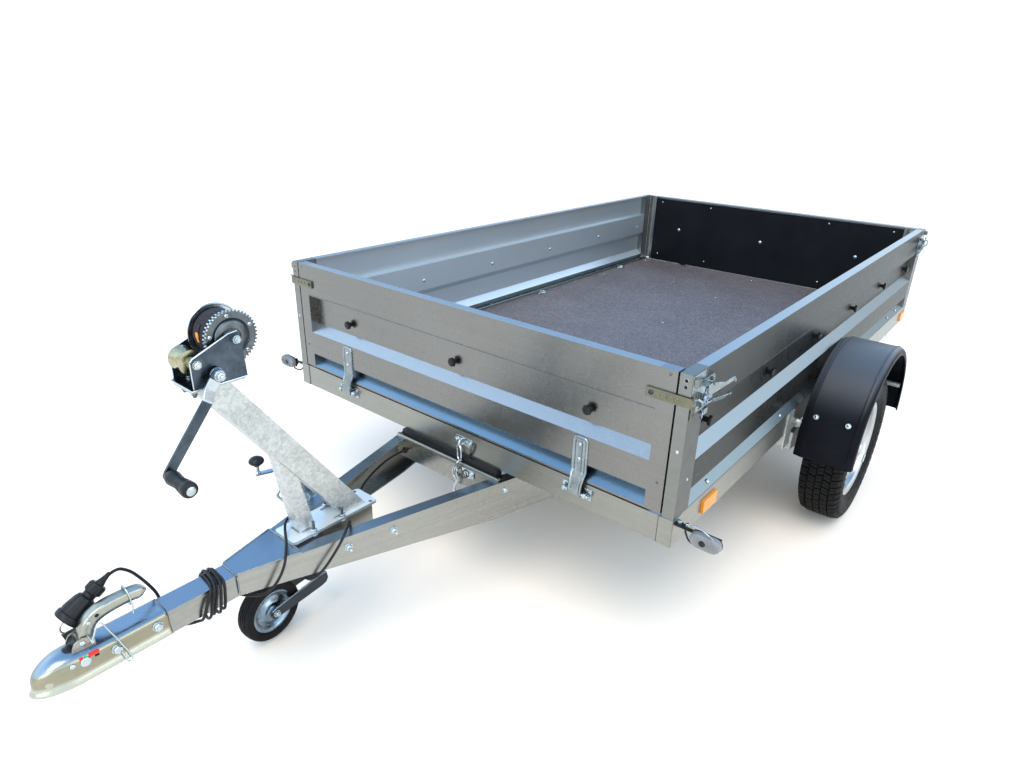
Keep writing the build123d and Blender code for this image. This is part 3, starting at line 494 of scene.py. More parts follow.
# ---------------------------------------------------------------------------
# Mesh helpers (millimetres in, metres out)
# ---------------------------------------------------------------------------
class Part:
    """Collects solids into one mesh, then makes an object that rides a body."""

    def __init__(self, name, body, *mats, slot=None):
        self.name, self.body, self.mats, self.slot = name, body, list(mats), slot
        self.bm = bmesh.new()
        self.mi = 0

    def use(self, index):
        self.mi = index
        return self

    def faces(self, verts, faces):
        vs = [self.bm.verts.new(P(*v)) for v in verts]
        for f in faces:
            try:
                face = self.bm.faces.new([vs[i] for i in f])
                face.material_index = self.mi
            except ValueError:
                pass
        return vs

    def box(self, x0, x1, y0, y1, z0, z1):
        v = [(x, y, z) for x in (x0, x1) for y in (y0, y1) for z in (z0, z1)]
        self.faces(v, [(0, 1, 3, 2), (4, 6, 7, 5), (0, 4, 5, 1), (2, 3, 7, 6),
                       (0, 2, 6, 4), (1, 5, 7, 3)])
        return self

    def prism(self, outline, a, b):
        """outline of (x, y, z) points in one plane, moved from a to b."""
        a, b = Vector(a), Vector(b)
        n = len(outline)
        v = [tuple(Vector(p) + a) for p in outline] + \
            [tuple(Vector(p) + b) for p in outline]
        self.faces(v, [tuple(range(n))[::-1], tuple(range(n, 2 * n))]
                   + [(i, (i + 1) % n, n + (i + 1) % n, n + i) for i in range(n)])
        return self

    def lathe(self, profile, centre, axis, seg=32, closed=False, start=0.0, sweep=None):
        """profile of (radius, height along axis)."""
        ax = Vector(axis).normalized()
        ref = Vector((0, 0, 1)) if abs(ax.z) < 0.9 else Vector((1, 0, 0))
        e1 = ax.cross(ref).normalized()
        e2 = ax.cross(e1)
        c = Vector(centre)
        rings = []
        n = seg if sweep is None else seg + 1
        for r, h in profile:
            if r < 1e-6:
                rings.append([self.bm.verts.new(P(*(c + ax * h)))])
            else:
                ring = []
                for k in range(n):
                    t = start + (2 * math.pi if sweep is None else sweep) * k / seg
                    ring.append(self.bm.verts.new(P(*(
                        c + ax * h + (e1 * math.cos(t) + e2 * math.sin(t)) * r))))
                rings.append(ring)
        pairs = list(zip(rings[:-1], rings[1:]))
        if closed:
            pairs.append((rings[-1], rings[0]))
        for a, b in pairs:
            m = n if sweep is None else n - 1
            for k in range(m):
                k2 = (k + 1) % n
                if len(a) == 1 and len(b) == 1:
                    continue
                if len(a) == 1:
                    q = [a[0], b[k2], b[k]]
                elif len(b) == 1:
                    q = [a[k], a[k2], b[0]]
                else:
                    q = [a[k], a[k2], b[k2], b[k]]
                try:
                    f = self.bm.faces.new(q)
                    f.material_index = self.mi
                except ValueError:
                    pass
        return self

    def tube(self, path, r, seg=10, caps=True, flat=None):
        """Round bar of radius r on a path; flat=(half width, half height) is not used."""
        pts = [Vector(p) for p in path]
        n = len(pts)
        tang = []
        for i in range(n):
            a = pts[max(0, i - 1)]
            b = pts[min(n - 1, i + 1)]
            tang.append((b - a).normalized())
        ref = Vector((0, 0, 1)) if abs(tang[0].z) < 0.9 else Vector((0, 1, 0))
        e1 = tang[0].cross(ref).normalized()
        rings = []
        for i in range(n):
            e1 = (e1 - tang[i] * e1.dot(tang[i])).normalized()
            e2 = tang[i].cross(e1)
            ring = []
            for k in range(seg):
                t = 2 * math.pi * k / seg
                rr = r[i] if isinstance(r, (list, tuple)) else r
                ring.append(self.bm.verts.new(P(*(
                    pts[i] + e1 * math.cos(t) * rr + e2 * math.sin(t) * rr))))
            rings.append(ring)
        for a, b in zip(rings[:-1], rings[1:]):
            for k in range(seg):
                f = self.bm.faces.new([a[k], a[(k + 1) % seg], b[(k + 1) % seg], b[k]])
                f.material_index = self.mi
        if caps:
            for ring, rev in ((rings[0], True), (rings[-1], False)):
                f = self.bm.faces.new(ring[::-1] if rev else ring)
                f.material_index = self.mi
        return self

    def ring_tube(self, pts, r, seg=8):
        """Closed loop of round bar."""
        pts = [Vector(p) for p in pts]
        n = len(pts)
        nrm = Vector((0, 0, 0))
        c = sum(pts, Vector()) / n
        for i in range(n):
            nrm += (pts[i] - c).cross(pts[(i + 1) % n] - c)
        nrm.normalize()
        rings = []
        for i in range(n):
            t = (pts[(i + 1) % n] - pts[i - 1]).normalized()
            e1 = t.cross(nrm).normalized()
            rings.append([self.bm.verts.new(P(*(
                pts[i] + e1 * math.cos(2 * math.pi * k / seg) * r
                + nrm * math.sin(2 * math.pi * k / seg) * r))) for k in range(seg)])
        for i in range(n):
            a, b = rings[i], rings[(i + 1) % n]
            for k in range(seg):
                f = self.bm.faces.new([a[k], a[(k + 1) % seg], b[(k + 1) % seg], b[k]])
                f.material_index = self.mi
        return self

    def bolt(self, c, axis, af=13.0, h=5.5, washer=None, wh=1.6, turn=0.2):
        """Hexagon head on a washer."""
        washer = af * 0.92 if washer is None else washer
        self.lathe([(0, 0), (washer, 0), (washer, wh), (0, wh)], c, axis, 24)
        r = af / 2 / math.cos(math.pi / 6)
        self.lathe([(0, wh), (r, wh), (r, wh + h * 0.82), (r * 0.86, wh + h), (0, wh + h)],
                   c, axis, 6, start=turn)
        return self

    def stud(self, c, axis, af=13.0, h=7.0, out=5.0, washer=None):
        """Nut with a threaded end standing out of it."""
        self.bolt(c, axis, af, h, washer)
        r = af * 0.28
        self.lathe([(r, h), (r, h + out), (r * 0.8, h + out + 1), (0, h + out + 1)],
                   c, axis, 14)
        return self

    def rivet(self, c, axis, r=5.0, h=2.0):
        self.lathe([(r, 0), (r, h * 0.35), (r * 0.8, h * 0.75), (r * 0.45, h), (0, h)],
                   c, axis, 16)
        return self

    def coach(self, c, axis, r=9.0, h=4.5):
        """Domed coach-bolt head."""
        self.lathe([(r, 0), (r, h * 0.25), (r * 0.85, h * 0.62), (r * 0.5, h * 0.92),
                    (0, h)], c, axis, 22)
        return self

    def done(self, bevel=0.0, smooth=32.0, seg=2, subsurf=0, solid=0.0, recalc=True):
        if recalc:
            bmesh.ops.recalc_face_normals(self.bm, faces=self.bm.faces)
        me = bpy.data.meshes.new(self.name)
        self.bm.to_mesh(me)
        self.bm.free()
        for m in self.mats:
            me.materials.append(m)
        me.shade_smooth()
        me.set_sharp_from_angle(angle=math.radians(smooth))
        o = bpy.data.objects.new(self.name, me)
        scene.collection.objects.link(o)
        if solid:
            s = o.modifiers.new("thick", "SOLIDIFY")
            s.thickness = solid / 1000.0
            s.offset = 0
        if bevel:
            b = o.modifiers.new("edge", "BEVEL")
            b.width = bevel / 1000.0
            b.segments = seg
            b.limit_method = "ANGLE"
            b.angle_limit = math.radians(35)
            b.harden_normals = False
        if subsurf:
            s = o.modifiers.new("sub", "SUBSURF")
            s.levels = s.render_levels = subsurf
        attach(o, self.body)
        return o


def paint(node, *mats, bevel=0.0, angle=30.0, seg=2):
    """Gives a CAD node its material and rounds its edges a little."""
    o = NODES[node]
    o.data.materials.clear()
    for m in mats:
        o.data.materials.append(m)
    if bevel:
        b = o.modifiers.new("edge", "BEVEL")
        b.width = bevel / 1000.0
        b.segments = seg
        b.limit_method = "ANGLE"
        b.angle_limit = math.radians(angle)
        b.harden_normals = True
    return o


def arc(cx, cz, r, a0, a1, n, y=0.0, plane="xz"):
    out = []
    for k in range(n + 1):
        t = math.radians(a0 + (a1 - a0) * k / n)
        a, b = cx + r * math.cos(t), cz + r * math.sin(t)
        out.append((a, y, b) if plane == "xz" else
                   (a, b, y) if plane == "xy" else (y, a, b))
    return out



# ---------------------------------------------------------------------------
# Camera, floor and studio light
# ---------------------------------------------------------------------------
CAM_AZ, CAM_EL, CAM_ROLL = 0.6822621376, 0.4098977008, 0.0269773362
look = Vector((-math.cos(CAM_EL) * math.cos(CAM_AZ),
               -math.cos(CAM_EL) * math.sin(CAM_AZ), -math.sin(CAM_EL)))
right = look.cross(Vector((0, 0, 1))).normalized()
up = right.cross(look)
right2 = right * math.cos(CAM_ROLL) + up * math.sin(CAM_ROLL)
up2 = up * math.cos(CAM_ROLL) - right * math.sin(CAM_ROLL)
cam_data = bpy.data.cameras.new("camera")
cam_data.sensor_width = 36.0
cam_data.lens = 23.777
cam_data.clip_start = 0.02
cam_data.clip_end = 200.0
cam = bpy.data.objects.new("camera", cam_data)
scene.collection.objects.link(cam)
cam.matrix_world = Matrix((
    (right2.x, up2.x, -look.x, 2.026154),
    (right2.y, up2.y, -look.y, 1.330075),
    (right2.z, up2.z, -look.z, 1.473431),
    (0, 0, 0, 1)))
scene.camera = cam

floor_mesh = bpy.data.meshes.new("studio_floor")
floor_mesh.from_pydata([(-90, -90, 0), (90, -90, 0), (90, 90, 0), (-90, 90, 0)], [],
                       [(0, 1, 2, 3)])
studio = bpy.data.objects.new("studio_floor", floor_mesh)
scene.collection.objects.link(studio)
k = Mat("studio_floor", 0.0, 0.85)
k.color(k.ramp(k.noise(0.6, 3, 0.5), [(0.3, (0.86, 0.76, 0.66)), (0.7, (0.88, 0.78, 0.68))]))
floor_mesh.materials.append(k.m)

world = bpy.data.worlds.new("studio")
scene.world = world
world.use_nodes = True
wt = world.node_tree
bg = wt.nodes["Background"]
tc = wt.nodes.new("ShaderNodeTexCoord")
sep = wt.nodes.new("ShaderNodeSeparateXYZ")
wt.links.new(tc.outputs["Generated"], sep.inputs[0])


def sky(stops):
    r = wt.nodes.new("ShaderNodeValToRGB")
    wt.links.new(sep.outputs["Z"], r.inputs["Fac"])
    e = r.color_ramp.elements
    while len(e) < len(stops):
        e.new(0.5)
    for i, (p, c) in enumerate(stops):
        e[i].position = p
        e[i].color = (*c, 1)
    return r.outputs["Color"]


deep = sky([(0.0, (1.12, 1.10, 1.08)), (0.13, (1.12, 1.10, 1.08)), (0.22, (0.50, 0.80, 1.10)),
            (0.40, (0.36, 0.68, 1.28)), (0.58, (0.55, 0.95, 1.55)), (0.72, (0.80, 1.20, 1.75)),
            (0.86, (0.60, 0.98, 1.50)), (1.0, (0.45, 0.80, 1.35))])
bright = sky([(0.0, (1.12, 1.10, 1.08)), (0.10, (1.12, 1.10, 1.08)), (0.20, (1.55, 1.85, 2.05)),
              (0.40, (1.60, 2.10, 2.50)), (0.56, (1.30, 1.78, 2.35)), (0.66, (1.45, 1.85, 2.35)),
              (0.78, (0.70, 1.10, 1.55)), (1.0, (0.45, 0.80, 1.35))])


def toward(x, y):
    n = wt.nodes.new("ShaderNodeVectorMath")
    n.operation = "DOT_PRODUCT"
    n.inputs[1].default_value = (x, y, 0.0)
    wt.links.new(tc.outputs["Generated"], n.inputs[0])
    return n.outputs["Value"]


most = wt.nodes.new("ShaderNodeMath")
most.operation = "MAXIMUM"
wt.links.new(toward(-0.35, 0.94), most.inputs[0])
wt.links.new(toward(0.95, -0.30), most.inputs[1])
side = wt.nodes.new("ShaderNodeMapRange")
side.interpolation_type = "SMOOTHSTEP"
side.inputs["From Min"].default_value = -0.10
side.inputs["From Max"].default_value = 0.45
wt.links.new(most.outputs[0], side.inputs["Value"])
blend = wt.nodes.new("ShaderNodeMix")
blend.data_type = "RGBA"
wt.links.new(side.outputs["Result"], blend.inputs[0])
wt.links.new(deep, blend.inputs[6])
wt.links.new(bright, blend.inputs[7])
wt.links.new(blend.outputs[2], bg.inputs["Color"])
bg.inputs["Strength"].default_value = 1.0


def area(name, loc, target, size, energy, color=(1, 1, 1)):
    d = bpy.data.lights.new(name, "AREA")
    d.shape = "RECTANGLE"
    d.size, d.size_y = size
    d.energy = energy
    d.color = color
    o = bpy.data.objects.new(name, d)
    scene.collection.objects.link(o)
    o.location = loc
    o.rotation_mode = "QUATERNION"
    o.rotation_quaternion = (Vector(target) - Vector(loc)).to_track_quat("-Z", "Y")
    return o


sun = bpy.data.lights.new("key", "SUN")
sun.energy = 2.0
sun.angle = math.radians(40)
sun.color = (1.0, 0.87, 0.70)
sun_o = bpy.data.objects.new("key", sun)
scene.collection.objects.link(sun_o)
sun_o.rotation_mode = "QUATERNION"
sun_o.rotation_quaternion = Vector((-0.38, -0.16, -0.92)).to_track_quat("-Z", "Y")
area("fill_front", (5.5, 2.0, 2.2), (0.3, 0.2, 0.5), (3.0, 2.0), 60, (1.0, 0.98, 0.95))
area("fill_side", (0.0, 6.0, 2.2), (0.0, 0.7, 0.5), (4.0, 2.2), 50, (1.0, 0.98, 0.96))

scene.view_settings.view_transform = "Standard"
scene.view_settings.look = "None"
scene.view_settings.exposure = 0.0
scene.cycles.use_denoising = True
scene.cycles.max_bounces = 8
scene.cycles.transmission_bounces = 6

# ---------------------------------------------------------------------------
# Electric lead: one spline from the cross member to the plug
# ---------------------------------------------------------------------------
LEAD_REAR = [
    (0.715, -0.186, 0.366), (0.770, -0.186, 0.366), (0.830, -0.174, 0.363),
    (0.895, -0.158, 0.352), (0.950, -0.134, 0.336), (0.995, -0.094, 0.330),
    (1.037, -0.048, 0.331), (1.077, -0.004, 0.331), (1.109, 0.036, 0.339),
    (1.125, 0.056, 0.368), (1.131, 0.062, 0.402), (1.139, 0.076, 0.430),
    (1.167, 0.100, 0.433), (1.195, 0.111, 0.411), (1.219, 0.105, 0.378),
    (1.247, 0.099, 0.346), (1.270, 0.082, 0.319), (1.278, 0.046, 0.313),
    (1.269, 0.006, 0.316), (1.247, -0.028, 0.325), (1.226, -0.044, 0.348),
    (1.218, -0.048, 0.382), (1.222, -0.0484, 0.416), (1.239, -0.042, 0.443),
    (1.267, -0.024, 0.444), (1.285, 0.002, 0.436), (1.301, 0.032, 0.428),
    (1.320, 0.058, 0.426), (1.337, 0.077, 0.408), (1.351, 0.076, 0.380),
    (1.367, 0.068, 0.352), (1.387, 0.052, 0.329), (1.409, 0.022, 0.323),
    (1.431, -0.006, 0.329), (1.445, -0.013, 0.3325)]
LEAD_TURNS = [
    # first turn
    (1.458, -0.028, 0.333), (1.463, -0.0395, 0.346), (1.464, -0.0405, 0.368),
    (1.464, -0.0400, 0.390), (1.465, -0.0375, 0.407), (1.466, -0.026, 0.4135),
    (1.467, 0.000, 0.4130), (1.469, 0.026, 0.4135), (1.472, 0.0385, 0.405),
    (1.475, 0.0405, 0.384), (1.478, 0.0410, 0.360), (1.480, 0.038, 0.341),
    (1.481, 0.022, 0.334), (1.478, 0.000, 0.333), (1.475, -0.023, 0.333),
    # second turn
    (1.472, -0.041, 0.342), (1.471, -0.045, 0.366), (1.471, -0.0445, 0.391),
    (1.471, -0.040, 0.410), (1.472, -0.026, 0.4175), (1.474, 0.000, 0.4165),
    (1.477, 0.027, 0.4160), (1.482, 0.040, 0.405), (1.486, 0.0425, 0.383),
    (1.490, 0.0425, 0.359), (1.492, 0.039, 0.338), (1.492, 0.022, 0.329),
    (1.489, 0.000, 0.328), (1.486, -0.022, 0.329),
    # third turn
    (1.483, -0.037, 0.339), (1.480, -0.0405, 0.362), (1.478, -0.0400, 0.388),
    (1.478, -0.0375, 0.406), (1.479, -0.026, 0.4135), (1.481, 0.000, 0.4120),
    (1.485, 0.026, 0.4130), (1.490, 0.0385, 0.404), (1.496, 0.0405, 0.383),
    (1.502, 0.0405, 0.360), (1.505, 0.037, 0.341), (1.505, 0.022, 0.334),
    (1.501, 0.000, 0.333), (1.496, -0.023, 0.334),
    # fourth turn
    (1.491, -0.040, 0.343), (1.487, -0.0445, 0.366), (1.485, -0.0440, 0.391),
    (1.484, -0.0405, 0.411), (1.484, -0.026, 0.4200), (1.486, 0.000, 0.4205),
    (1.490, 0.026, 0.4200), (1.497, 0.041, 0.407), (1.505, 0.0435, 0.384),
    (1.512, 0.0435, 0.359), (1.517, 0.040, 0.339), (1.517, 0.022, 0.327),
    (1.512, 0.000, 0.326), (1.507, -0.023, 0.327),
    # fifth turn
    (1.501, -0.039, 0.338), (1.496, -0.0430, 0.362), (1.492, -0.0430, 0.388),
    (1.490, -0.0395, 0.407), (1.490, -0.027, 0.4140), (1.492, 0.000, 0.4130),
    (1.497, 0.026, 0.4130), (1.506, 0.0385, 0.404), (1.516, 0.0400, 0.384),
    (1.526, 0.0405, 0.361), (1.533, 0.036, 0.341)]
LEAD_FRONT = [
    (1.536, 0.023, 0.334), (1.551, 0.018, 0.334), (1.568, 0.002, 0.332),
    (1.576, -0.022, 0.332), (1.579, -0.046, 0.344), (1.582, -0.050, 0.376),
    (1.587, -0.048, 0.408), (1.599, -0.047, 0.438), (1.613, -0.046, 0.468),
    (1.631, -0.045, 0.500), (1.6582, -0.042, 0.5237), (1.6874, -0.042, 0.5049)]

lead_curve = bpy.data.curves.new("lead", "CURVE")
lead_curve.dimensions = "3D"
lead_curve.bevel_depth = 0.0035
lead_curve.bevel_resolution = 4
lead_curve.use_fill_caps = True
spline = lead_curve.splines.new("NURBS")
route = LEAD_REAR + LEAD_TURNS + LEAD_FRONT
spline.points.add(len(route) - 1)
for point, co in zip(spline.points, route):
    point.co = (*co, 1.0)
spline.order_u = 3
spline.use_endpoint_u = True
spline.resolution_u = 8
lead_curve.materials.append(LEAD)
lead = bpy.data.objects.new("lead", lead_curve)
scene.collection.objects.link(lead)
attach(lead, "drawbar")
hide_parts("lead_rear", "lead_front", "lead_coil")

# plug: gland, bell, ribbed grip, collar and a hinged nose
GLAND = Vector((2262.4, -42.0, 504.9))
tilt = math.radians(122.8)
PLUG_AX = Vector((math.sin(tilt), 0.0, math.cos(tilt)))
plug = Part("lead_plug_body", "drawbar", BLACKPL, BLACKPL, slot="black_plastic")
plug.lathe([(0, 0), (8.5, 0), (9.5, 3), (9.5, 5), (16, 5), (17.5, 8), (17.5, 25),
            (14.5, 27.5), (13.5, 30), (13.5, 35), (18.5, 38), (20.5, 43), (22, 52),
            (24, 66), (24.6, 78), (27, 79.5), (27.8, 82), (27.8, 90), (26, 93.5),
            (21, 93.5), (20, 90), (0, 90)], GLAND, PLUG_AX, 44)
e1 = Vector((0, 1, 0))
e2 = PLUG_AX.cross(e1)
for i in range(14):
    t = 2 * math.pi * i / 14
    c = GLAND + (e1 * math.cos(t) + e2 * math.sin(t)) * 17.0
    plug.tube([c + PLUG_AX * 8.5, c + PLUG_AX * 24.5], 1.6, 6)
for i in range(10):
    t = 2 * math.pi * (i + 0.5) / 10
    c = (e1 * math.cos(t) + e2 * math.sin(t))
    plug.tube([GLAND + c * 20.0 + PLUG_AX * 44, GLAND + c * 23.4 + PLUG_AX * 66,
               GLAND + c * 24.2 + PLUG_AX * 76], 1.5, 6)
plug_o = plug.done(bevel=0.5)
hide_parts("lead_plug")
relief = Part("lead_strain_relief", "drawbar", BLACKPL, slot="black_plastic")
relief.lathe([(8.2, 1), (8.0, -3), (6.6, -5), (6.4, -8), (5.8, -9), (5.7, -12), (5.2, -13),
              (5.1, -16), (4.7, -17), (4.6, -20), (4.0, -22), (3.2, -23)],
             GLAND, PLUG_AX, 24)
relief.done()
grommet = Part("lead_grommet", "drawbar", BLACKPL, slot="rubber_pad")
grommet.lathe([(3.3, 14), (4.2, 13), (5.5, 6), (9, 4.5), (10, 3), (10, 0), (3, 0)],
              (1290, -186, 366), (1, 0, 0), 24)
grommet.done()

# ---------------------------------------------------------------------------
# Finishes of the CAD nodes
# ---------------------------------------------------------------------------
PAINT = [
    # node, material, rounded edge in mm
    # the black rest strip also stands for the shaded gap under the sill: partly painted shade
    ("drawbar_frame", RAILS, 1.5), ("bed_rest_strip", KNOBPL, 1.0),
    ("axle_beam", DIP, 2.0), ("trailing_arms", DIP, 2.0),
    ("coupling_head", OLIVE, 1.2), ("plug_holder", OLIVE, 0.6),
    ("winch_post", DIP, 2.0), ("winch_post_foot", DIPFOOT_TOP_HIGHLIGHT, 1.2),
    ("winch_frame", BLACKZINC, 0.8), ("winch_guide_roller", GOLD, 1.0),
    ("jockey_clamp", ZINC, 1.2), ("jockey_outer_tube", ZINC, 0.8),
    ("jockey_inner_tube", ZINC, 0.8), ("jockey_crank", ZINC, 0.8),
    ("jockey_fork", DARKPAINT, 1.0), ("winch_crank", ARM, 1.2),
    ("bed_frame", FRAME, 1.2), ("floor_board", FLOORMAT, 0.0),
    ("left_side_panel", SHEET_L, 0.8), ("right_side_panel", SHEET_R, 0.8),
    ("front_panel", SHEET_F, 0.8), ("tailgate_panel", SHEET_T, 0.8),
    ("tailgate_board", BOARD, 0.6),
    ("front_left_post", POST, 1.0), ("front_right_post", POST, 1.0),
    ("rear_left_post", POST, 1.0), ("rear_right_post", POST, 1.0),
    ("front_panel_straps", STRAPY, 0.5), ("tailgate_straps", STRAPY, 0.5),
    ("front_panel_hinges", ZINC, 1.0), ("tailgate_hinges", ZINC, 1.0),
    ("hinge_pins", ZINC, 1.0), ("left_fender", FENDERPL, 1.0),
    ("right_fender", FENDERPL, 1.0), ("fender_stays", DIP, 1.2),
    ("front_lamp_arms", BLACKPL, 0.6), ("rear_light_board", FRAME, 0.8),
    ("rear_lamps", RED, 0.0), ("number_plate", PLATEPL, 0.6),
    ("left_wheel_hub", DIP, 1.5), ("right_wheel_hub", DIP, 1.5),
    ("jockey_wheel_hub", ZINC, 1.0), ("side_reflectors", AMBER, 1.5),
    ("coupling_handle", YELLOW, 1.2), ("front_lamps", CLEAR, 1.0),
    ("corner_latches", ZINC, 0.8), ("bed_lock_chain", ZINC, 1.0),
    ("winch_drum", GEAR, 0.6), ("winch_strap", WEB, 0.6),
    ("winch_crank_grip", KNOBPL, 1.0), ("jockey_crank_knob", KNOBPL, 1.0),
    ("left_wheel_rim", RIMPAINT, 1.0), ("right_wheel_rim", RIMPAINT, 1.0),
    ("left_wheel_tyre", RUBBER, 0.0), ("right_wheel_tyre", RUBBER, 0.0),
    ("jockey_wheel_tyre", RUBBER, 0.0),
    ("lead_rear", LEAD, 0.0), ("lead_front", LEAD, 0.0),
    ("lead_coil", LEAD, 0.0), ("lead_plug", BLACKPL, 0.0),
]
for node, material, edge in PAINT:
    paint(node, material, bevel=edge)

# ---------------------------------------------------------------------------
# Road wheels: tyre with blocks, pressed rim with slots, bolts and hub cap
# ---------------------------------------------------------------------------
TX, TZ, TY = 50.0, 281.0, 877.5
# columns: inner edge, outer edge (mm from the middle), skew, phase
TREAD = [(-62, -41, 5.0, 0.00), (-36, -14, -6.0, 0.35), (-10, 10, 5.0, 0.70),
         (14, 36, -6.0, 0.15), (41, 62, 5.0, 0.50)]
PITCHES = 58


def crown(y):
    return 280.6 - max(0.0, abs(y) - 40.0) ** 2 * 0.0135


def tyre(side):
    name = ("left" if side > 0 else "right") + "_wheel"
    p = Part(name + "_tread", name, RUBBER, slot="tyre")
    c = (TX, side * TY, TZ)
    ax = (0, side, 0)
    half = [(271.5, 0), (271.5, 36), (270.5, 52), (268, 60), (262, 66.5), (254, 70.6),
            (247, 72.2), (243.5, 72.4), (242.5, 71.4), (238.5, 71.9), (230, 72.3),
            (220, 71.6), (210, 69.4), (207, 68.6), (206, 67.2), (200, 65), (193, 61.6),
            (187.5, 58.8), (184.2, 55.5), (184, 53.6), (170, 53.0), (166.2, 49),
            (166.2, 40)]
    prof = [(r, h) for r, h in half] + [(200, 52), (240, 58), (262, 40), (266, 0)]
    prof += [(262, -40), (240, -58), (200, -52)] + [(r, -h) for r, h in half[::-1]][:-1]
    p.lathe(prof, c, ax, 144, closed=True)
    e2 = Vector((0, 0, 1))
    e1 = Vector((1, 0, 0))

    def pt(t, r, y):
        return tuple(Vector(c) + (e1 * math.cos(t) + e2 * math.sin(t)) * r
                     + Vector((0, side * y, 0)))

    step = 2 * math.pi / PITCHES
    for ya, yb, skew, phase in TREAD:
        for i in range(PITCHES):
            t0 = (i + phase) * step
            gap = 0.16 if i % 2 else 0.20
            for j, (s0, s1) in enumerate(((0.0, 0.42), (0.47, 1 - gap))):
                low, high = 270.0, 0.0
                a0, a1 = t0 + s0 * step, t0 + s1 * step
                da = skew / 281.0
                q = []
                for (y, d) in ((ya, -da / 2), (yb, da / 2)):
                    top = crown(y)
                    for a in (a0, a1):
                        q.append(pt(a + d, low if abs(y) < 50 else 262.0, y))
                        q.append(pt(a + d, top, y))
                v = q
                p.faces(v, [(1, 3, 7, 5), (0, 4, 6, 2), (0, 1, 5, 4), (2, 6, 7, 3),
                            (0, 2, 3, 1), (4, 5, 7, 6)])
        if abs(ya) > 38 or abs(yb) > 38:
            s = 1 if yb > 0 else -1
            for i in range(PITCHES):
                t0 = (i + phase) * step
                a0, a1 = t0 + 0.10 * step, t0 + 0.78 * step
                da = skew / 281.0 * s / 2
                ring = [(crown(62), 62), (263.5, 68.6), (256, 71.9), (251, 72.5)]
                v = []
                for r, y in ring:
                    for a in (a0, a1):
                        v.append(pt(a + da, r, s * y))
                for r, y in ((256, 66), (250, 68)):
                    for a in (a0, a1):
                        v.append(pt(a + da, r, s * y))
                p.faces(v, [(0, 1, 3, 2), (2, 3, 5, 4), (4, 5, 7, 6), (6, 7, 11, 10),
                            (10, 11, 9, 8), (8, 9, 1, 0),
                            (0, 2, 4, 6, 10, 8), (1, 9, 11, 7, 5, 3)])
    for k in range(2):
        a = math.pi * k
        for i in range(6):
            t = a + math.radians(-15 + 6 * i)
            v = []
            for r, dt in ((214, 0), (214, 0.035), (226, 0.035), (226, 0)):
                v.append(pt(t + dt, r, 71.2))
            w = [pt(t + dt, r, 72.45) for r, dt in
                 ((214, 0), (214, 0.035), (226, 0.035), (226, 0))]
            p.faces(v + w, [(0, 1, 2, 3), (4, 7, 6, 5), (0, 4, 5, 1), (1, 5, 6, 2),
                            (2, 6, 7, 3), (3, 7, 4, 0)])
    o = p.done(smooth=28)
    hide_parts(name + "_tyre")


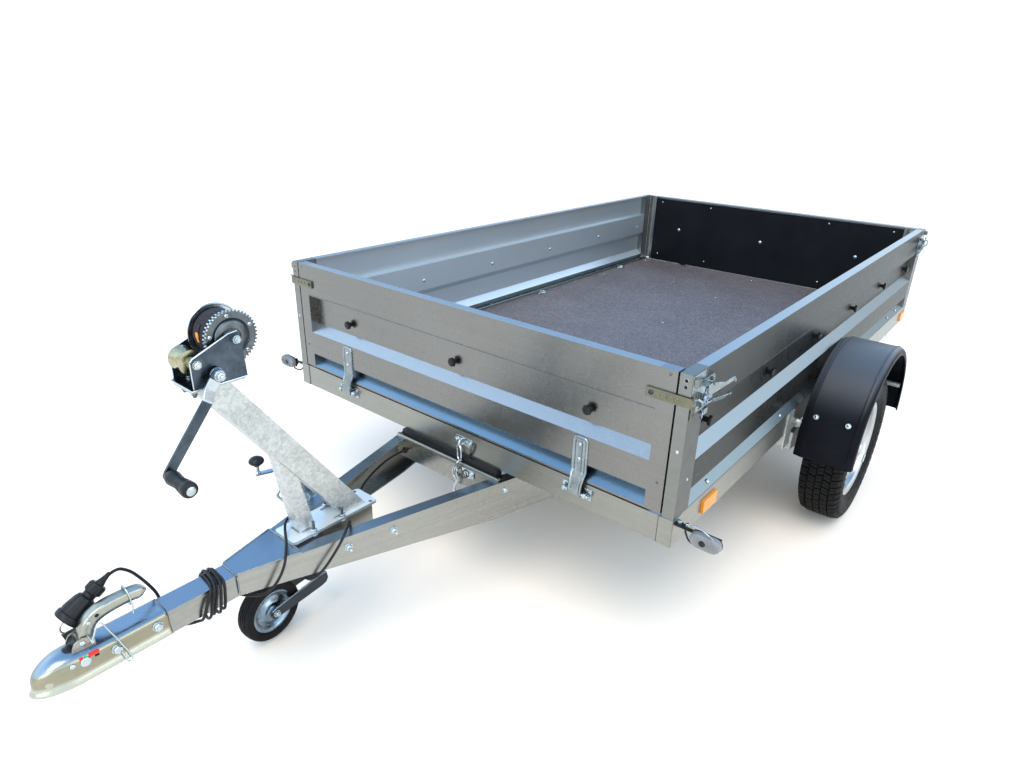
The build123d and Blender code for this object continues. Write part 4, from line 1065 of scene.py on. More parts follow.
def rim(side):
    body = ("left" if side > 0 else "right") + "_wheel"
    c = (TX, side * TY, TZ)
    ax = (0, side, 0)
    p = Part(body + "_rim_barrel", body, RIMPAINT, slot="silver_rim")
    p.lathe([(182.6, 57.6), (183.0, 55.8), (181.5, 54.0), (176, 53.6), (168.5, 53.2),
             (165.4, 50), (165.4, 27), (164, 24), (151.5, 13), (149.6, 10),
             (149.6, -4), (151.5, -7), (164, -17), (165.4, -20), (165.4, -50),
             (168.5, -53.2), (181.5, -54), (183, -55.8), (182.6, -57.6), (179, -57.2),
             (169, -56.4), (163.6, -52), (162, -48), (162, -21), (160, -17),
             (148.6, -8), (146.6, -4), (146.6, 10), (148.4, 13.5), (160, 24.5),
             (162, 28), (162, 48), (163.6, 52), (169, 56.4), (179, 57.2)],
            c, ax, 96, closed=True)
    # balance weight on the flange and the valve
    o = p.done(smooth=38)
    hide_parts(body + "_rim")
    d = Part(body + "_rim_disc", body, RIMPAINT, slot="silver_rim")
    prof = [(30, 31), (36, 31.2), (46, 31.2), (70, 31.2), (78, 32), (86, 37),
            (94, 43), (100, 45.4), (106, 45.6), (111, 44.4), (116, 42.6), (121, 40.4),
            (126, 37.8), (131, 34.4), (136, 29.6), (141, 23), (146.5, 15)]
    seg = 160
    slots = 10
    ring = []
    for r, h in prof:
        ring.append([d.bm.verts.new(P(*(Vector(c) + Vector((0, side * h, 0)) + Vector(
            (math.cos(2 * math.pi * i / seg) * r, 0,
             math.sin(2 * math.pi * i / seg) * r))))) for i in range(seg)])
    for j in range(len(prof) - 1):
        rm = (prof[j][0] + prof[j + 1][0]) / 2
        for i in range(seg):
            ph = ((i + 0.5) / seg * slots) % 1.0 - 0.5
            w = 1 - ((rm - 119.5) / 13.0) ** 2
            if w > 0 and abs(ph) < 0.19 * math.sqrt(w):
                continue
            d.bm.faces.new([ring[j][i], ring[j][(i + 1) % seg],
                            ring[j + 1][(i + 1) % seg], ring[j + 1][i]])
    d.done(smooth=50, solid=3.2, recalc=True)
    b = Part(body + "_bolts", body, ZINC, KNOBPL, slot="galvanised")
    for i in range(5):
        t = 2 * math.pi * i / 5 + 0.5
        q = (TX + 56 * math.cos(t), side * (TY + 32.4), TZ + 56 * math.sin(t))
        b.lathe([(13, 0), (12, 3), (10.5, 3.5), (0, 3.5)], q, ax, 24)
        b.lathe([(9.8, 3), (9.8, 12), (8.4, 14.5), (0, 15)], q, ax, 6, start=t)
    b.lathe([(31, -2), (31, 14), (29.5, 15.5), (28.5, 15.5), (28, 21), (26, 27),
             (20, 31.5), (10, 33.8), (0, 34.2)], (TX, side * 907, TZ), ax, 40)
    b.use(1)
    vt = 0.9
    vq = Vector((TX + 152 * math.cos(vt), side * (TY + 27), TZ + 152 * math.sin(vt)))
    b.lathe([(7, -6), (7, 0), (4.5, 3), (4, 20), (4.6, 21), (4.6, 27), (3.5, 29), (0, 29)],
            vq, (-0.35 * math.cos(vt), side, -0.35 * math.sin(vt)), 16)
    b.use(0)
    # balance weight clipped on the flange
    for k in range(5):
        t = 3.7 + k * 0.035
        q = Vector((TX + 171 * math.cos(t), side * (TY + 57.3), TZ + 171 * math.sin(t)))
        b.lathe([(5.0, -1), (5.0, 1.5), (3.5, 3.2), (0, 3.4)], q, ax, 12)
    b.done(smooth=35, bevel=0.4)


for s in (1, -1):
    tyre(s)
    rim(s)

# ---------------------------------------------------------------------------
# Fenders: bolts with washers and an inner stiffening bead
# ---------------------------------------------------------------------------
for side, nm in ((1, "left"), (-1, "right")):
    p = Part(nm + "_fender_bolts", "bed", ZINC, HOLE_SHADE, slot="galvanised")
    for deg, ys in ((25.5, (829, 932)), (154.5, (829, 932))):
        t = math.radians(deg)
        for y in ys:
            q = Vector((45 + 339.0 * math.cos(t), side * y, 340 + 339.0 * math.sin(t)))
            n = (math.cos(t), 0, math.sin(t))
            p.use(0).lathe([(9, 0), (9, 1.2), (8.2, 1.8), (5, 1.8), (5, 3.6), (3.9, 4.2),
                            (2.6, 4.2)], q, n, 24)
            # dark recess in each bolt head: painted shade
            p.use(1).lathe([(2.7, 4.2), (2.5, 2.2), (0, 2.2)], q, n, 6)
    p.done(smooth=35)
    p = Part(nm + "_fender_beads", "bed", FENDERPL, slot="black_plastic")
    for y in (806, 958):
        p.tube(arc(45, 340, 339.2, 4, 176, 60, side * y), 2.2, 8)
    # rolled lip round the outer edge
    p.tube(arc(45, 340, 311.5, 0.5, 179.5, 60, side * 977.0), 1.9, 8)
    p.done(smooth=60)

# ---------------------------------------------------------------------------
# Knobs, rivets and screws of the load box
# ---------------------------------------------------------------------------
KNOB = [(0, 0), (7.2, 0), (7.2, 7.5), (8.5, 9), (12.2, 9.6), (13.2, 11), (13.4, 15.5),
        (12.4, 18.2), (9.5, 19.6), (5, 20.2), (0, 20.3)]


def knobs(name, body, places):
    p = Part(name, body, KNOBPL, slot="black_plastic")
    for c, ax in places:
        p.lathe(KNOB, c, ax, 28)
        a = Vector(ax).normalized()
        ref = Vector((0, 0, 1))
        u = a.cross(ref).normalized()
        v = a.cross(u)
        for i in range(8):
            t = 2 * math.pi * i / 8
            q = Vector(c) + (u * math.cos(t) + v * math.sin(t)) * 12.9
            p.tube([q + a * 10.5, q + a * 17.2], 1.7, 6)
    p.done(smooth=40)


FRONT_Y = (-493, 3, 489)
SIDE_X = (1095, 666, 226, -228, -688, -1119)
knobs("front_knobs", "front_panel", [((1242, y, 722), (1, 0, 0)) for y in FRONT_Y])
knobs("tail_knobs", "tailgate", [((-1242, y, 722), (-1, 0, 0)) for y in (-514, -14, 490)])
knobs("side_knobs", "bed", [((x, s * 740, 722), (0, s, 0)) for x in SIDE_X for s in (1, -1)])

# nuts of those knobs on the inside
p = Part("inner_nuts", "bed", ZINC, slot="galvanised")
for x in SIDE_X:
    for s in (1, -1):
        p.coach((x, s * 738, 722), (0, -s, 0), 8, 3.6)
        p.lathe([(3.2, 3), (3.2, 5.5), (0, 6)], (x, s * 738, 722), (0, -s, 0), 10)
p.done(smooth=40)
p = Part("front_inner_nuts", "front_panel", ZINC, GEAR, slot="galvanised")
for y in FRONT_Y:
    p.coach((1240, y, 722), (-1, 0, 0), 8, 3.6)
for s in (1, -1):
    for z in (603, 890):
        p.use(1).rivet((1270, s * 713, z), (1, 0, 0), 3.8, 1.5)
p.done(smooth=40)
p = Part("tail_board_bolts", "tailgate", ZINC, slot="galvanised")
for y in (-514, -14, 490):
    p.coach((-1229, y, 722), (1, 0, 0), 8.5, 3.8)
for y in (-640, -330, 330, 640):
    for z in (560, 872):
        p.rivet((-1229, y, z), (1, 0, 0), 4.2, 2.0)
for s in (1, -1):
    for z in (603, 890):
        p.rivet((-1270, s * 713, z), (-1, 0, 0), 3.8, 1.5)
p.done(smooth=40)

# flat edge strips along the inside of the tailgate board
p = Part("tail_board_frame", "tailgate", FRAME, slot="galvanised")
p.box(-1237, -1228.2, -697, -684, 522, 896)
p.box(-1237, -1228.2, 684, 697, 522, 896)
p.done(bevel=0.5)

# rivets of posts and of the rails, screws of the floor
p = Part("post_rivets", "bed", ZINC, HOLE_SHADE, slot="galvanised")
for sx in (1, -1):
    for sy in (1, -1):
        for z in (703,):
            p.use(0).rivet((sx * 1270, sy * 753, z), (sx, 0, 0), 4.6, 1.8)
        for z in (885, 869):
            # empty rivet holes: dark discs of painted shade, each with a thin rim
            p.use(1).lathe([(4.6, 0), (4.6, 0.25), (0, 0.25)], (sx * 1270, sy * 753, z),
                           (sx, 0, 0), 20)
            p.use(0).ring_tube([(sx * 1270.1, sy * 753 + 4.9 * math.cos(t * math.pi / 10),
                                 z + 4.9 * math.sin(t * math.pi / 10)) for t in range(20)],
                               0.5, 6)
        p.use(0).rivet((sx * 1222, sy * 768, 613), (0, sy, 0), 4.0, 1.6)
        p.use(0).rivet((sx * 1060, sy * 758, 530), (0, sy * 0.76, 0.64), 6.5, 4.0)
for s in (1, -1):
    for x in (-900, -480, 520):
        p.use(0).rivet((x, s * 758, 530), (0, s * 0.76, 0.64), 6.0, 3.6)
    for x in range(-1150, 1151, 230):
        p.use(0).rivet((x, s * 738.5, 523 + 0), (0, -s, 0), 3.8, 1.6)
p.done(smooth=40)
p = Part("floor_screws", "bed", ZINC, slot="galvanised")
for x in (-1180, -700, -130, 430, 870, 1180):
    for y in (-690, -8, 690):
        p.lathe([(7, 0), (6.6, 0.7), (3.5, 1.0), (3.2, 0.5), (0, 0.5)], (x, y, 515),
                (0, 0, 1), 20)
p.done(smooth=35)

# lashing rings: plate, two rivets and a folded-down ring
p = Part("lashing_rings", "bed", ZINC, slot="galvanised")
for s in (1, -1):
    for x in (-900, -130, 700):
        y0 = s * 706
        p.box(x - 30, x + 30, y0 - 13, y0 + 13, 515, 517)
        p.rivet((x - 21, y0, 517), (0, 0, 1), 5, 2.2)
        p.rivet((x + 21, y0, 517), (0, 0, 1), 5, 2.2)
        p.tube([(x - 12, y0 - 9, 518.5), (x - 8, y0 - 9, 522), (x + 8, y0 - 9, 522),
                (x + 12, y0 - 9, 518.5)], 2.0, 8)
        pts = []
        for t in range(28):
            a = 2 * math.pi * t / 28
            pts.append((x + 19 * math.cos(a), y0 - 9 - s * 16 + s * 0 + 16 * math.sin(a), 520.4))
        p.ring_tube(pts, 2.6, 8)
p.done(smooth=50)

# folded seam along the rims of the panels, and a dark line along the step of each end panel: painted shade under
# the step
p = Part("front_panel_beads", "front_panel", RIM, BLACKZINC, slot="galvanised")
p.box(1239, 1269.2, -684.5, 684.5, 901.0, 901.8)
# dark line under the step of the panel: painted shade
p.use(1).tube([(1270.0, -684, 795.0), (1270.0, 684, 795.0)], 0.8, 6)
p.done(smooth=40)
p = Part("tail_panel_beads", "tailgate", RIM, BLACKZINC, slot="galvanised")
p.box(-1269.2, -1239, -684.5, 684.5, 901.0, 901.8)
# dark line under the step of the panel: painted shade
p.use(1).tube([(-1270.0, -684, 795.0), (-1270.0, 684, 795.0)], 0.8, 6)
p.done(smooth=40)
p = Part("side_rim_strips", "bed", RIM, slot="galvanised")
for s in (1, -1):
    p.box(-1191.5, 1191.5, s * 737.5, s * 767.4, 901.0, 901.8)
p.done(smooth=40)

# sheet covers over the ends of the sills
p = Part("sill_corners", "bed", FRAME, slot="galvanised")
for sx in (1, -1):
    for sy in (1, -1):
        xs, ys = sorted((sx * 1270.0, sx * 1271.2)), sorted((sy * 729, sy * 769.2))
        p.box(xs[0], xs[1], ys[0], ys[1], 437.4, 514.6)
        xs, ys = sorted((sx * 1228.0, sx * 1271.2)), sorted((sy * 768, sy * 769.2))
        p.box(xs[0], xs[1], ys[0], ys[1], 437.4, 514.6)
p.done(bevel=0.4)

# dark joints beside the corner covers, and the folded edge of each end panel
p = Part("corner_joints", "bed", BLACKZINC, slot="galvanised")
for sx in (1, -1):
    for sy in (1, -1):
        xs, ys = sorted((sx * 1269.5, sx * 1271.3)), sorted((sy * 727.6, sy * 728.9))
        p.box(xs[0], xs[1], ys[0], ys[1], 438, 514)
p.done()
p = Part("post_liners", "bed", FRAME, slot="galvanised")
for sx in (1, -1):
    for sy in (1, -1):
        xs, ys = sorted((sx * 1194.0, sx * 1267.0)), sorted((sy * 736.0, sy * 738.0))
        p.box(xs[0], xs[1], ys[0], ys[1], 520, 898)
p.done(bevel=0.4)

# dark line along the fold of each side wall: painted shade under the step
p = Part("side_fold_shade_lines", "bed", BLACKZINC, slot="galvanised")
for s in (1, -1):
    p.tube([(-1192, s * 767.9, 797), (1192, s * 767.9, 797)], 0.8, 6)
p.done(smooth=40)

# ---------------------------------------------------------------------------
# Strap hinges of the front panel and the tailgate
# ---------------------------------------------------------------------------
def flip(p, axis):
    """Adds the mirror image of everything collected so far."""
    ret = bmesh.ops.duplicate(p.bm, geom=p.bm.verts[:] + p.bm.edges[:] + p.bm.faces[:])
    for g in ret["geom"]:
        if isinstance(g, bmesh.types.BMVert):
            if axis == "y":
                g.co.y = -g.co.y
            else:
                g.co.x = -g.co.x - 2 * OX / 1000.0


def curve_at(table, d):
    for (a, ha), (b, hb) in zip(table[:-1], table[1:]):
        if d <= b:
            return ha + (hb - ha) * max(0.0, d - a) / (b - a)
    return table[-1][1]


LEAF = [(0, 0.9), (1.4, 2.9), (3.6, 3.7), (6.6, 3.4), (8.6, 0.9), (11.2, 0.8),
        (12.8, 2.6), (14.8, 2.9), (17.2, 1.9), (40, 1.9)]
TONGUE = [(0, 0.9), (1.4, 2.9), (3.2, 3.6), (5.0, 2.4), (6.5, 1.7), (8, 1.7),
          (10, 1.8), (12, 1.9), (14, 1.9), (40, 1.9)]


def strap_hinge(name, body):
    p = Part(name, body, STRAPZ, ZINC, slot="galvanised")
    path = [(1271.0, 651.0 - 103.0 * i / 42) for i in range(43)]
    steps = 20
    a, b = Vector((1271.0, 548.0)), Vector((1287.4, 494.0))
    for i in range(1, steps + 1):
        t = i / steps
        q = a.lerp(b, t)
        path.append((q.x + 1.6 * math.sin(math.pi * t), q.y))
    for i in range(0, 13):
        t = math.radians(12 - 17.5 * i)
        path.append((1282 + 6.4 * math.cos(t), 486 + 6.4 * math.sin(t)))
    n = len(path)
    cols = 29
    rows = []
    for i, (x, z) in enumerate(path):
        x0, z0 = path[max(0, i - 1)]
        x1, z1 = path[min(n - 1, i + 1)]
        t = Vector((x1 - x0, z1 - z0)).normalized()
        nx, nz = -t.y, t.x
        if i < 43:
            half, top = 25.0, 651.0 - z
            blend = 0.0
            if z > 637:
                half = 25 - (14 - math.sqrt(max(0.0, 14 ** 2 - (z - 637) ** 2)))
                half = max(half, 6.0)
        else:
            k = min(1.0, (548 - z) / 34.0) if i < 63 else 1.0
            half = 25.0 - 4.0 * k
            top = 400
            blend = min(1.0, (548 - z) / 9.0) if i < 63 else 1.0
        front, back = [], []
        for c in range(cols):
            u = -1 + 2 * c / (cols - 1)
            y = u * half
            qy, qz = abs(y) - 11.0, z - 637.0
            if i < 43 and qy > 0 and qz > 0:
                d = 14 - math.hypot(qy, qz)
            else:
                d = min(half - abs(y), top)
            d = max(0.0, d)
            h = curve_at(LEAF, d) * (1 - blend) + curve_at(TONGUE, d) * blend
            if i >= 63:
                h = 1.5
            front.append((x + nx * h, HY + y, z + nz * h))
            w = 1.0 if i < 63 else 1.1
            back.append((x - nx * w, HY + y, z - nz * w))
        rows.append((front, back))
    verts = []
    for f, bk in rows:
        verts += f + bk
    W = 2 * cols
    faces = []
    for i in range(n - 1):
        r0, r1 = i * W, (i + 1) * W
        for c in range(cols - 1):
            faces.append((r0 + c, r0 + c + 1, r1 + c + 1, r1 + c))
            faces.append((r0 + cols + c + 1, r0 + cols + c, r1 + cols + c, r1 + cols + c + 1))
        faces.append((r0, r1, r1 + cols, r0 + cols))
        faces.append((r0 + cols - 1, r0 + W - 1, r1 + W - 1, r1 + cols - 1))
    for r in (0, (n - 1) * W):
        for c in range(cols - 1):
            faces.append((r + c, r + c + 1, r + cols + c + 1, r + cols + c))
    p.faces(verts, faces)
    for z in (627, 584):
        p.use(1).rivet((1272.6, HY, z), (1, 0, 0), 5.6, 3.2)
    return p


HY = 486.0
for nm, body, rear in (("front_strap_hinges", "front_panel", False),
                       ("tail_strap_hinges", "tailgate", True)):
    p = strap_hinge(nm, body)
    flip(p, "y")
    if rear:
        for v in p.bm.verts:
            v.co.x = -v.co.x - 2 * OX / 1000.0
    o = p.done(smooth=42)
    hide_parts("tailgate_hinges" if rear else "front_panel_hinges")

# fixed half: ears on a small plate, pin with head and nut
p = Part("hinge_pin_sets", "bed", ZINC, DARKPAINT, slot="galvanised")
PINX, PINZ = 1282.0, 486.0
for y in (450.0, 516.0):
    prof = [(1270, y, 472), (PINX, y, 477.2)] + \
        [(PINX + 8.6 * math.cos(math.radians(t)), y, PINZ + 8.6 * math.sin(math.radians(t)))
         for t in range(-70, 101, 20)] + [(1270, y, 499)]
    p.prism([(q[0], 0, q[2]) for q in prof], (0, y, 0), (0, y + 5.5, 0))
p.box(1270, 1272.4, 440, 532, 470, 503)
p.lathe([(0, 448), (7.6, 448), (7.6, 450), (5, 450), (5, 522), (0, 522)],
        (PINX, 0, PINZ), (0, 1, 0), 20)
p.bolt((PINX, 521.4, PINZ), (0, 1, 0), 13, 6.5, 7.4, 1.0)
p.lathe([(3.4, 7), (3.4, 11), (0, 11.5)], (PINX, 521.4, PINZ), (0, 1, 0), 14)
p.coach((PINX, 450.2, PINZ), (0, -1, 0), 7.4, 4.6)
p.bolt((1272.3, 444.5, 497), (1, 0, 0), 8, 3.4, 5.2, 0.8)
p.bolt((1272.3, 528.5, 497), (1, 0, 0), 8, 3.4, 5.2, 0.8)
flip(p, "y")
flip(p, "x")
pins_o = p.done(smooth=35, bevel=0.35)
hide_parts("hinge_pins")

# ---------------------------------------------------------------------------
# Corner straps: rivet, three embossed screws and the bent-over end
# ---------------------------------------------------------------------------
for nm, body, rear in (("front_strap_screws", "front_panel", False),
                       ("tail_strap_screws", "tailgate", True)):
    p = Part(nm, body, STRAPY, BLACKZINC, slot="yellow_zinc")
    for y in (702, 719, 736):
        p.use(0).lathe([(6.2, 0), (6.2, 0.7), (5.2, 1.5), (3.6, 1.7), (2.6, 1.0), (0, 1.0)],
                       (1275, y, 834.5), (1, 0, 0), 22)
    p.use(1).lathe([(6.6, 0), (6.2, 1.8), (4.2, 3.0), (0, 3.2)], (1275, 671, 834.5),
                   (1, 0, 0), 22)
    p.use(0).tube([(1275.0, 657.5, 823), (1275.0, 657.5, 846)], 0.8, 6)
    p.rivet((1262, 773, 834.5), (0, 1, 0), 4.6, 2.0)
    flip(p, "y")
    if rear:
        for v in p.bm.verts:
            v.co.x = -v.co.x - 2 * OX / 1000.0
    p.done(smooth=38)

# ---------------------------------------------------------------------------
# Corner latches: post plate, pressed body, flat lever, spring rod and hook
# ---------------------------------------------------------------------------
p = Part("corner_latch_sets", "bed", STRAPZ, GEAR, HOLE_SHADE, BLUE, POST, slot="galvanised")
p.use(0).prism([(1156, 0, 800), (1238, 0, 800), (1244, 0, 806), (1244, 0, 868),
                (1238, 0, 876), (1156, 0, 876), (1150, 0, 870), (1150, 0, 806)],
               (0, 768, 0), (0, 770.2, 0))
p.use(4).box(1246, 1264, 768, 772.5, 789, 852)
p.use(0).tube([(1266, 774, 843), (1266, 785, 847), (1260, 792, 841), (1253, 791, 828), (1258, 784, 819)], 3.2, 10)
p.use(0).prism([(1176, 0, 812), (1228, 0, 812), (1233, 0, 822), (1231, 0, 850),
                (1218, 0, 862), (1180, 0, 862), (1173, 0, 848), (1173, 0, 820)],
               (0, 770, 0), (0, 779, 0))
p.use(3).prism([(1184, 0, 818), (1222, 0, 818), (1226, 0, 830), (1222, 0, 848),
                (1212, 0, 856), (1186, 0, 856)], (0, 779, 0), (0, 783.5, 0))
# dished disc with two holes, drawn as dark discs of painted shade
p.use(3).lathe([(12, -2), (12, 1.0), (10.5, 3.0), (8.0, 3.6), (4, 3.2), (0, 3.0)],
               (1220, 783, 833), (0, 1, 0), 28)
for dx, dz in ((-3.4, 2.6), (3.0, -3.6)):
    p.use(2).lathe([(2.1, 0), (2.1, 0.5), (0, 0.5)], (1220 + dx, 786.2, 833 + dz), (0, 1, 0), 14)
# lever
lever = [(1222, 869), (1206, 871), (1180, 866), (1147, 857), (1118, 860), (1104, 860),
         (1101, 855), (1106, 850), (1150, 846), (1188, 842), (1206, 841), (1220, 850)]
p.use(0)
vs0 = [(x, 784.0 + (1222 - x) * 0.12, z) for x, z in lever]
vs1 = [(x, y + 3.2, z) for x, y, z in vs0]
m = len(lever)
p.faces(vs0 + vs1, [tuple(range(m))[::-1], tuple(range(m, 2 * m))] +
        [(i, (i + 1) % m, m + (i + 1) % m, m + i) for i in range(m)])
p.tube([(1106, 800.6, 855), (1098, 800.4, 850), (1094, 799, 844)], 3.0, 10)
p.use(1).bolt((1199, 786, 868), (0, 1, 0), 9, 4.0, 6.0, 1.2)
p.use(1).bolt((1170, 770.2, 866), (0, 1, 0), 8, 3.6, 5.4, 1.2)
p.use(1).bolt((1168, 770.2, 808), (0, 1, 0), 8, 3.6, 5.4, 1.2)
# rod with spring turns
p.use(0).tube([(1222, 786, 826), (1206, 787, 822), (1190, 785, 820.5), (1150, 785, 813),
               (1110, 785, 806), (1080, 785, 802), (1076, 784, 801)], 2.6, 10)
coil_pts = []
for i in range(161):
    t = i / 160
    q = Vector((1186 - 66 * t, 785, 819.5 - 12.0 * t))
    ph = 2 * math.pi * 11 * t
    coil_pts.append((q.x + 0.9 * math.sin(ph), q.y + 4.6 * math.cos(ph),
                     q.z + 4.6 * math.sin(ph)))
p.tube(coil_pts, 1.0, 6)
p.lathe([(0, -4), (4.8, -4), (4.8, 4), (3.6, 6), (0, 6)], (1080, 785, 802), (-1, 0, -0.18), 18)
# bright tab below and the keeper above
p.box(1183, 1203, 770, 776, 783, 798)
p.use(0).box(1206, 1269, 768, 769.6, 846, 899.5)
p.use(4).box(1250, 1266, 769.6, 781, 874, 892)
p.use(3).tube([(1233, 781, 812), (1240, 788, 806), (1243, 789, 796), (1238, 785, 789),
               (1229, 779, 790)], 1.6, 8)
flip(p, "y")
flip(p, "x")
latch_o = p.done(smooth=34, bevel=0.5)
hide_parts("corner_latches")

# ---------------------------------------------------------------------------
# Chain and hook that hold the bed down
# ---------------------------------------------------------------------------
p = Part("bed_lock_set", "bed", ZINC, BLUE, GEAR, slot="galvanised")
p.use(0).prism([(0, 34, 472), (0, 96, 468), (0, 101, 473), (0, 100, 490), (0, 94, 496),
                (0, 38, 498), (0, 30, 492), (0, 29, 478)], (1270, 0, 0), (1273, 0, 0))
p.use(0).bolt((1273, 39, 483), (1, 0, 0), 11, 5, 8.5, 1.4)
p.use(0).bolt((1273, 92, 481), (1, 0, 0), 10, 4.5, 7.5, 1.4)
p.use(2).tube([(1272, 100, 486), (1279, 103, 482), (1281, 103, 470), (1279, 99, 456),
               (1276, 94, 446), (1274, 88, 444)], 3.0, 10)
p.use(0).tube([(1272, 58, 489), (1281, 58, 487), (1285, 58, 479), (1282, 58, 471),
               (1273, 58, 470)], 3.2, 10)


def link(c, along, across, length, width, r):
    c, u, v = Vector(c), Vector(along).normalized(), Vector(across).normalized()
    pts = []
    for i in range(28):
        t = 2 * math.pi * i / 28
        a = math.cos(t) * width / 2
        b = math.sin(t) * width / 2 + math.copysign((length - width) / 2, math.sin(t))
        pts.append(c + v * a + u * b)
    p.ring_tube(pts, r, 10)


link((1289, 63, 450), (0.12, 0.18, -1), (0.35, 0.9, 0.15), 50, 25, 3.1)
link((1297, 62, 409), (0.10, -0.35, -1), (1, 0.25, 0), 42, 21, 3.1)
link((1300, 56, 380), (0.02, 0.2, -1), (0.1, 1, 0.1), 36, 20, 3.1)
p.tube([(1301, 66, 366), (1303, 65, 358), (1304, 60, 344), (1303, 53, 330), (1302, 50, 318),
        (1301, 54, 309), (1299, 63, 306), (1298, 71, 311), (1298, 73, 319)],
       [3.4, 3.8, 4.4, 4.6, 4.6, 4.4, 4.0, 3.4, 2.4], 12)
p.ring_tube([(1301 + 0.5 * math.cos(t * 0.35), 63 + 7.5 * math.cos(t * math.pi / 9),
              364 + 7.5 * math.sin(t * math.pi / 9)) for t in range(18)], 2.6, 8)
bolt_o = p.done(smooth=45, bevel=0.3)
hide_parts("bed_lock_chain")

p = Part("bed_lock_keeper", "drawbar", ZINC, GEAR, slot="galvanised")
p.use(0).prism([(0, 78, 406), (0, 78, 396), (0, 96, 376), (0, 126, 380), (0, 128, 404),
                (0, 120, 406)], (1290, 0, 0), (1293, 0, 0))
p.use(0).bolt((1293, 117, 394), (1, 0, 0), 10, 4.5, 7.0, 1.4)
p.use(1).ring_tube([(1296 + 3.0 * math.cos(t * math.pi / 10), 92 + 10 * math.cos(t * math.pi / 10),
                     388 + 12 * math.sin(t * math.pi / 10)) for t in range(20)], 2.4, 8)
p.done(smooth=45, bevel=0.3)

# ---------------------------------------------------------------------------
# Winch: gear wheel, drum, strap layers, roller bolts, crank boss
# ---------------------------------------------------------------------------
DX, DZ = 1939.0, 984.0
p = Part("winch_gear", "winch_drum", GEAR, BLACKZINC, ZINC, slot="blue_zinc")
teeth = 44
outer = []
for i in range(teeth):
    for f, r in ((-0.32, 55.2), (-0.17, 59.6), (0.17, 59.6), (0.32, 55.2)):
        t = 2 * math.pi * (i + f) / teeth
        outer.append((DX + r * math.cos(t), DZ + r * math.sin(t)))
N = len(outer)
rings = []
for (h, k) in ((25, 1.0), (32, 1.0)):
    rings.append([(x, h, z) for x, z in outer])
inner_r = 52.6
for h in (32.0, 25.0):
    rings.append([(DX + inner_r * math.cos(2 * math.pi * i / N - 2 * math.pi * 0.32 / teeth), h,
                   DZ + inner_r * math.sin(2 * math.pi * i / N - 2 * math.pi * 0.32 / teeth))
                  for i in range(N)])
vs = [v for r in rings for v in r]
fs = []
for a, b in ((0, 1), (1, 2), (2, 3), (3, 0)):
    for i in range(N):
        j = (i + 1) % N
        fs.append((a * N + i, a * N + j, b * N + j, b * N + i))
p.use(0).faces(vs, fs)
# tooth tips and bore in bright zinc: painted highlight
for f in p.bm.faces:
    c0 = f.calc_center_median()
    if abs(c0.y - 0.0285) < 0.0005:
        f.material_index = 2
p.use(0).lathe([(52.9, 25.4), (52.9, 31.7), (42.0, 31.7), (42.0, 25.4)], (DX, 0, DZ),
               (0, 1, 0), 72, closed=True)
p.use(1).lathe([(42.1, 25.6), (42.1, 31.2), (41, 31.0), (38.4, 28.4), (37.4, 28.2), (37.2, 25.6)],
               (DX, 0, DZ), (0, 1, 0), 72, closed=True)
p.use(0).lathe([(37.3, 25.6), (37.2, 28.6), (36.0, 31.2), (34, 32.6), (30, 33.8), (24, 34.6),
                (20.6, 34.4), (20, 31.0), (14.2, 30.0), (14.2, 25.6)],
               (DX, 0, DZ), (0, 1, 0), 64, closed=True)
p.use(2).lathe([(14.4, 24), (14.4, 37.4), (12.4, 38.6), (8.6, 38.6), (8.2, 38.6), (8.2, 24)],
               (DX, 0, DZ), (0, 1, 0), 36, closed=True)
for i in range(5):
    t = 2 * math.pi * i / 5 + 0.22
    p.use(2).lathe([(4.4, 0), (4.4, 1.2), (3.2, 2.6), (0, 3.0)],
                   (DX + 47.6 * math.cos(t), 31.6, DZ + 47.6 * math.sin(t)), (0, 1, 0), 16)
    p.use(1).lathe([(1.6, 0), (1.6, 0.4), (0, 0.4)],
                   (DX + 47.6 * math.cos(t), 34.3, DZ + 47.6 * math.sin(t)), (0, 1, 0), 10)
# far flange with rolled rim, core and shaft
p.use(2).lathe([(60, -38.2), (60.4, -36.6), (59.6, -35.2), (57.4, -35.0), (56.4, -35.8),
                (50, -36.0), (22, -35.8), (21.8, 26), (8.3, 26), (8.3, 51), (6.5, 52.4), (0, 52.4),
                (0, -50.4), (6.5, -50.4), (8.3, -49), (8.3, -38.2)],
               (DX, 0, DZ), (0, 1, 0), 72)
drum_o = p.done(smooth=32, bevel=0.35)
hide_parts("winch_drum")

p = Part("winch_strap_turns", "winch_drum", WEB, ORANGE, slot="strap")
prof = [(22.4, -33)]
for i in range(9):
    r = 26 + i * 2.85
    prof += [(r, -33.6 + (i % 2) * 0.5), (r + 0.4, -32.9)]
prof += [(49.4, -33.0), (50.2, -31.0), (50.2, 21.5), (49.4, 23.2)]
for i in range(8, -1, -1):
    r = 26 + i * 2.85
    prof += [(r + 0.4, 23.1), (r, 23.8 - (i % 2) * 0.5)]
prof += [(22.4, 23.2)]
p.use(0).lathe(prof, (DX, 0, DZ), (0, 1, 0), 72, closed=True)
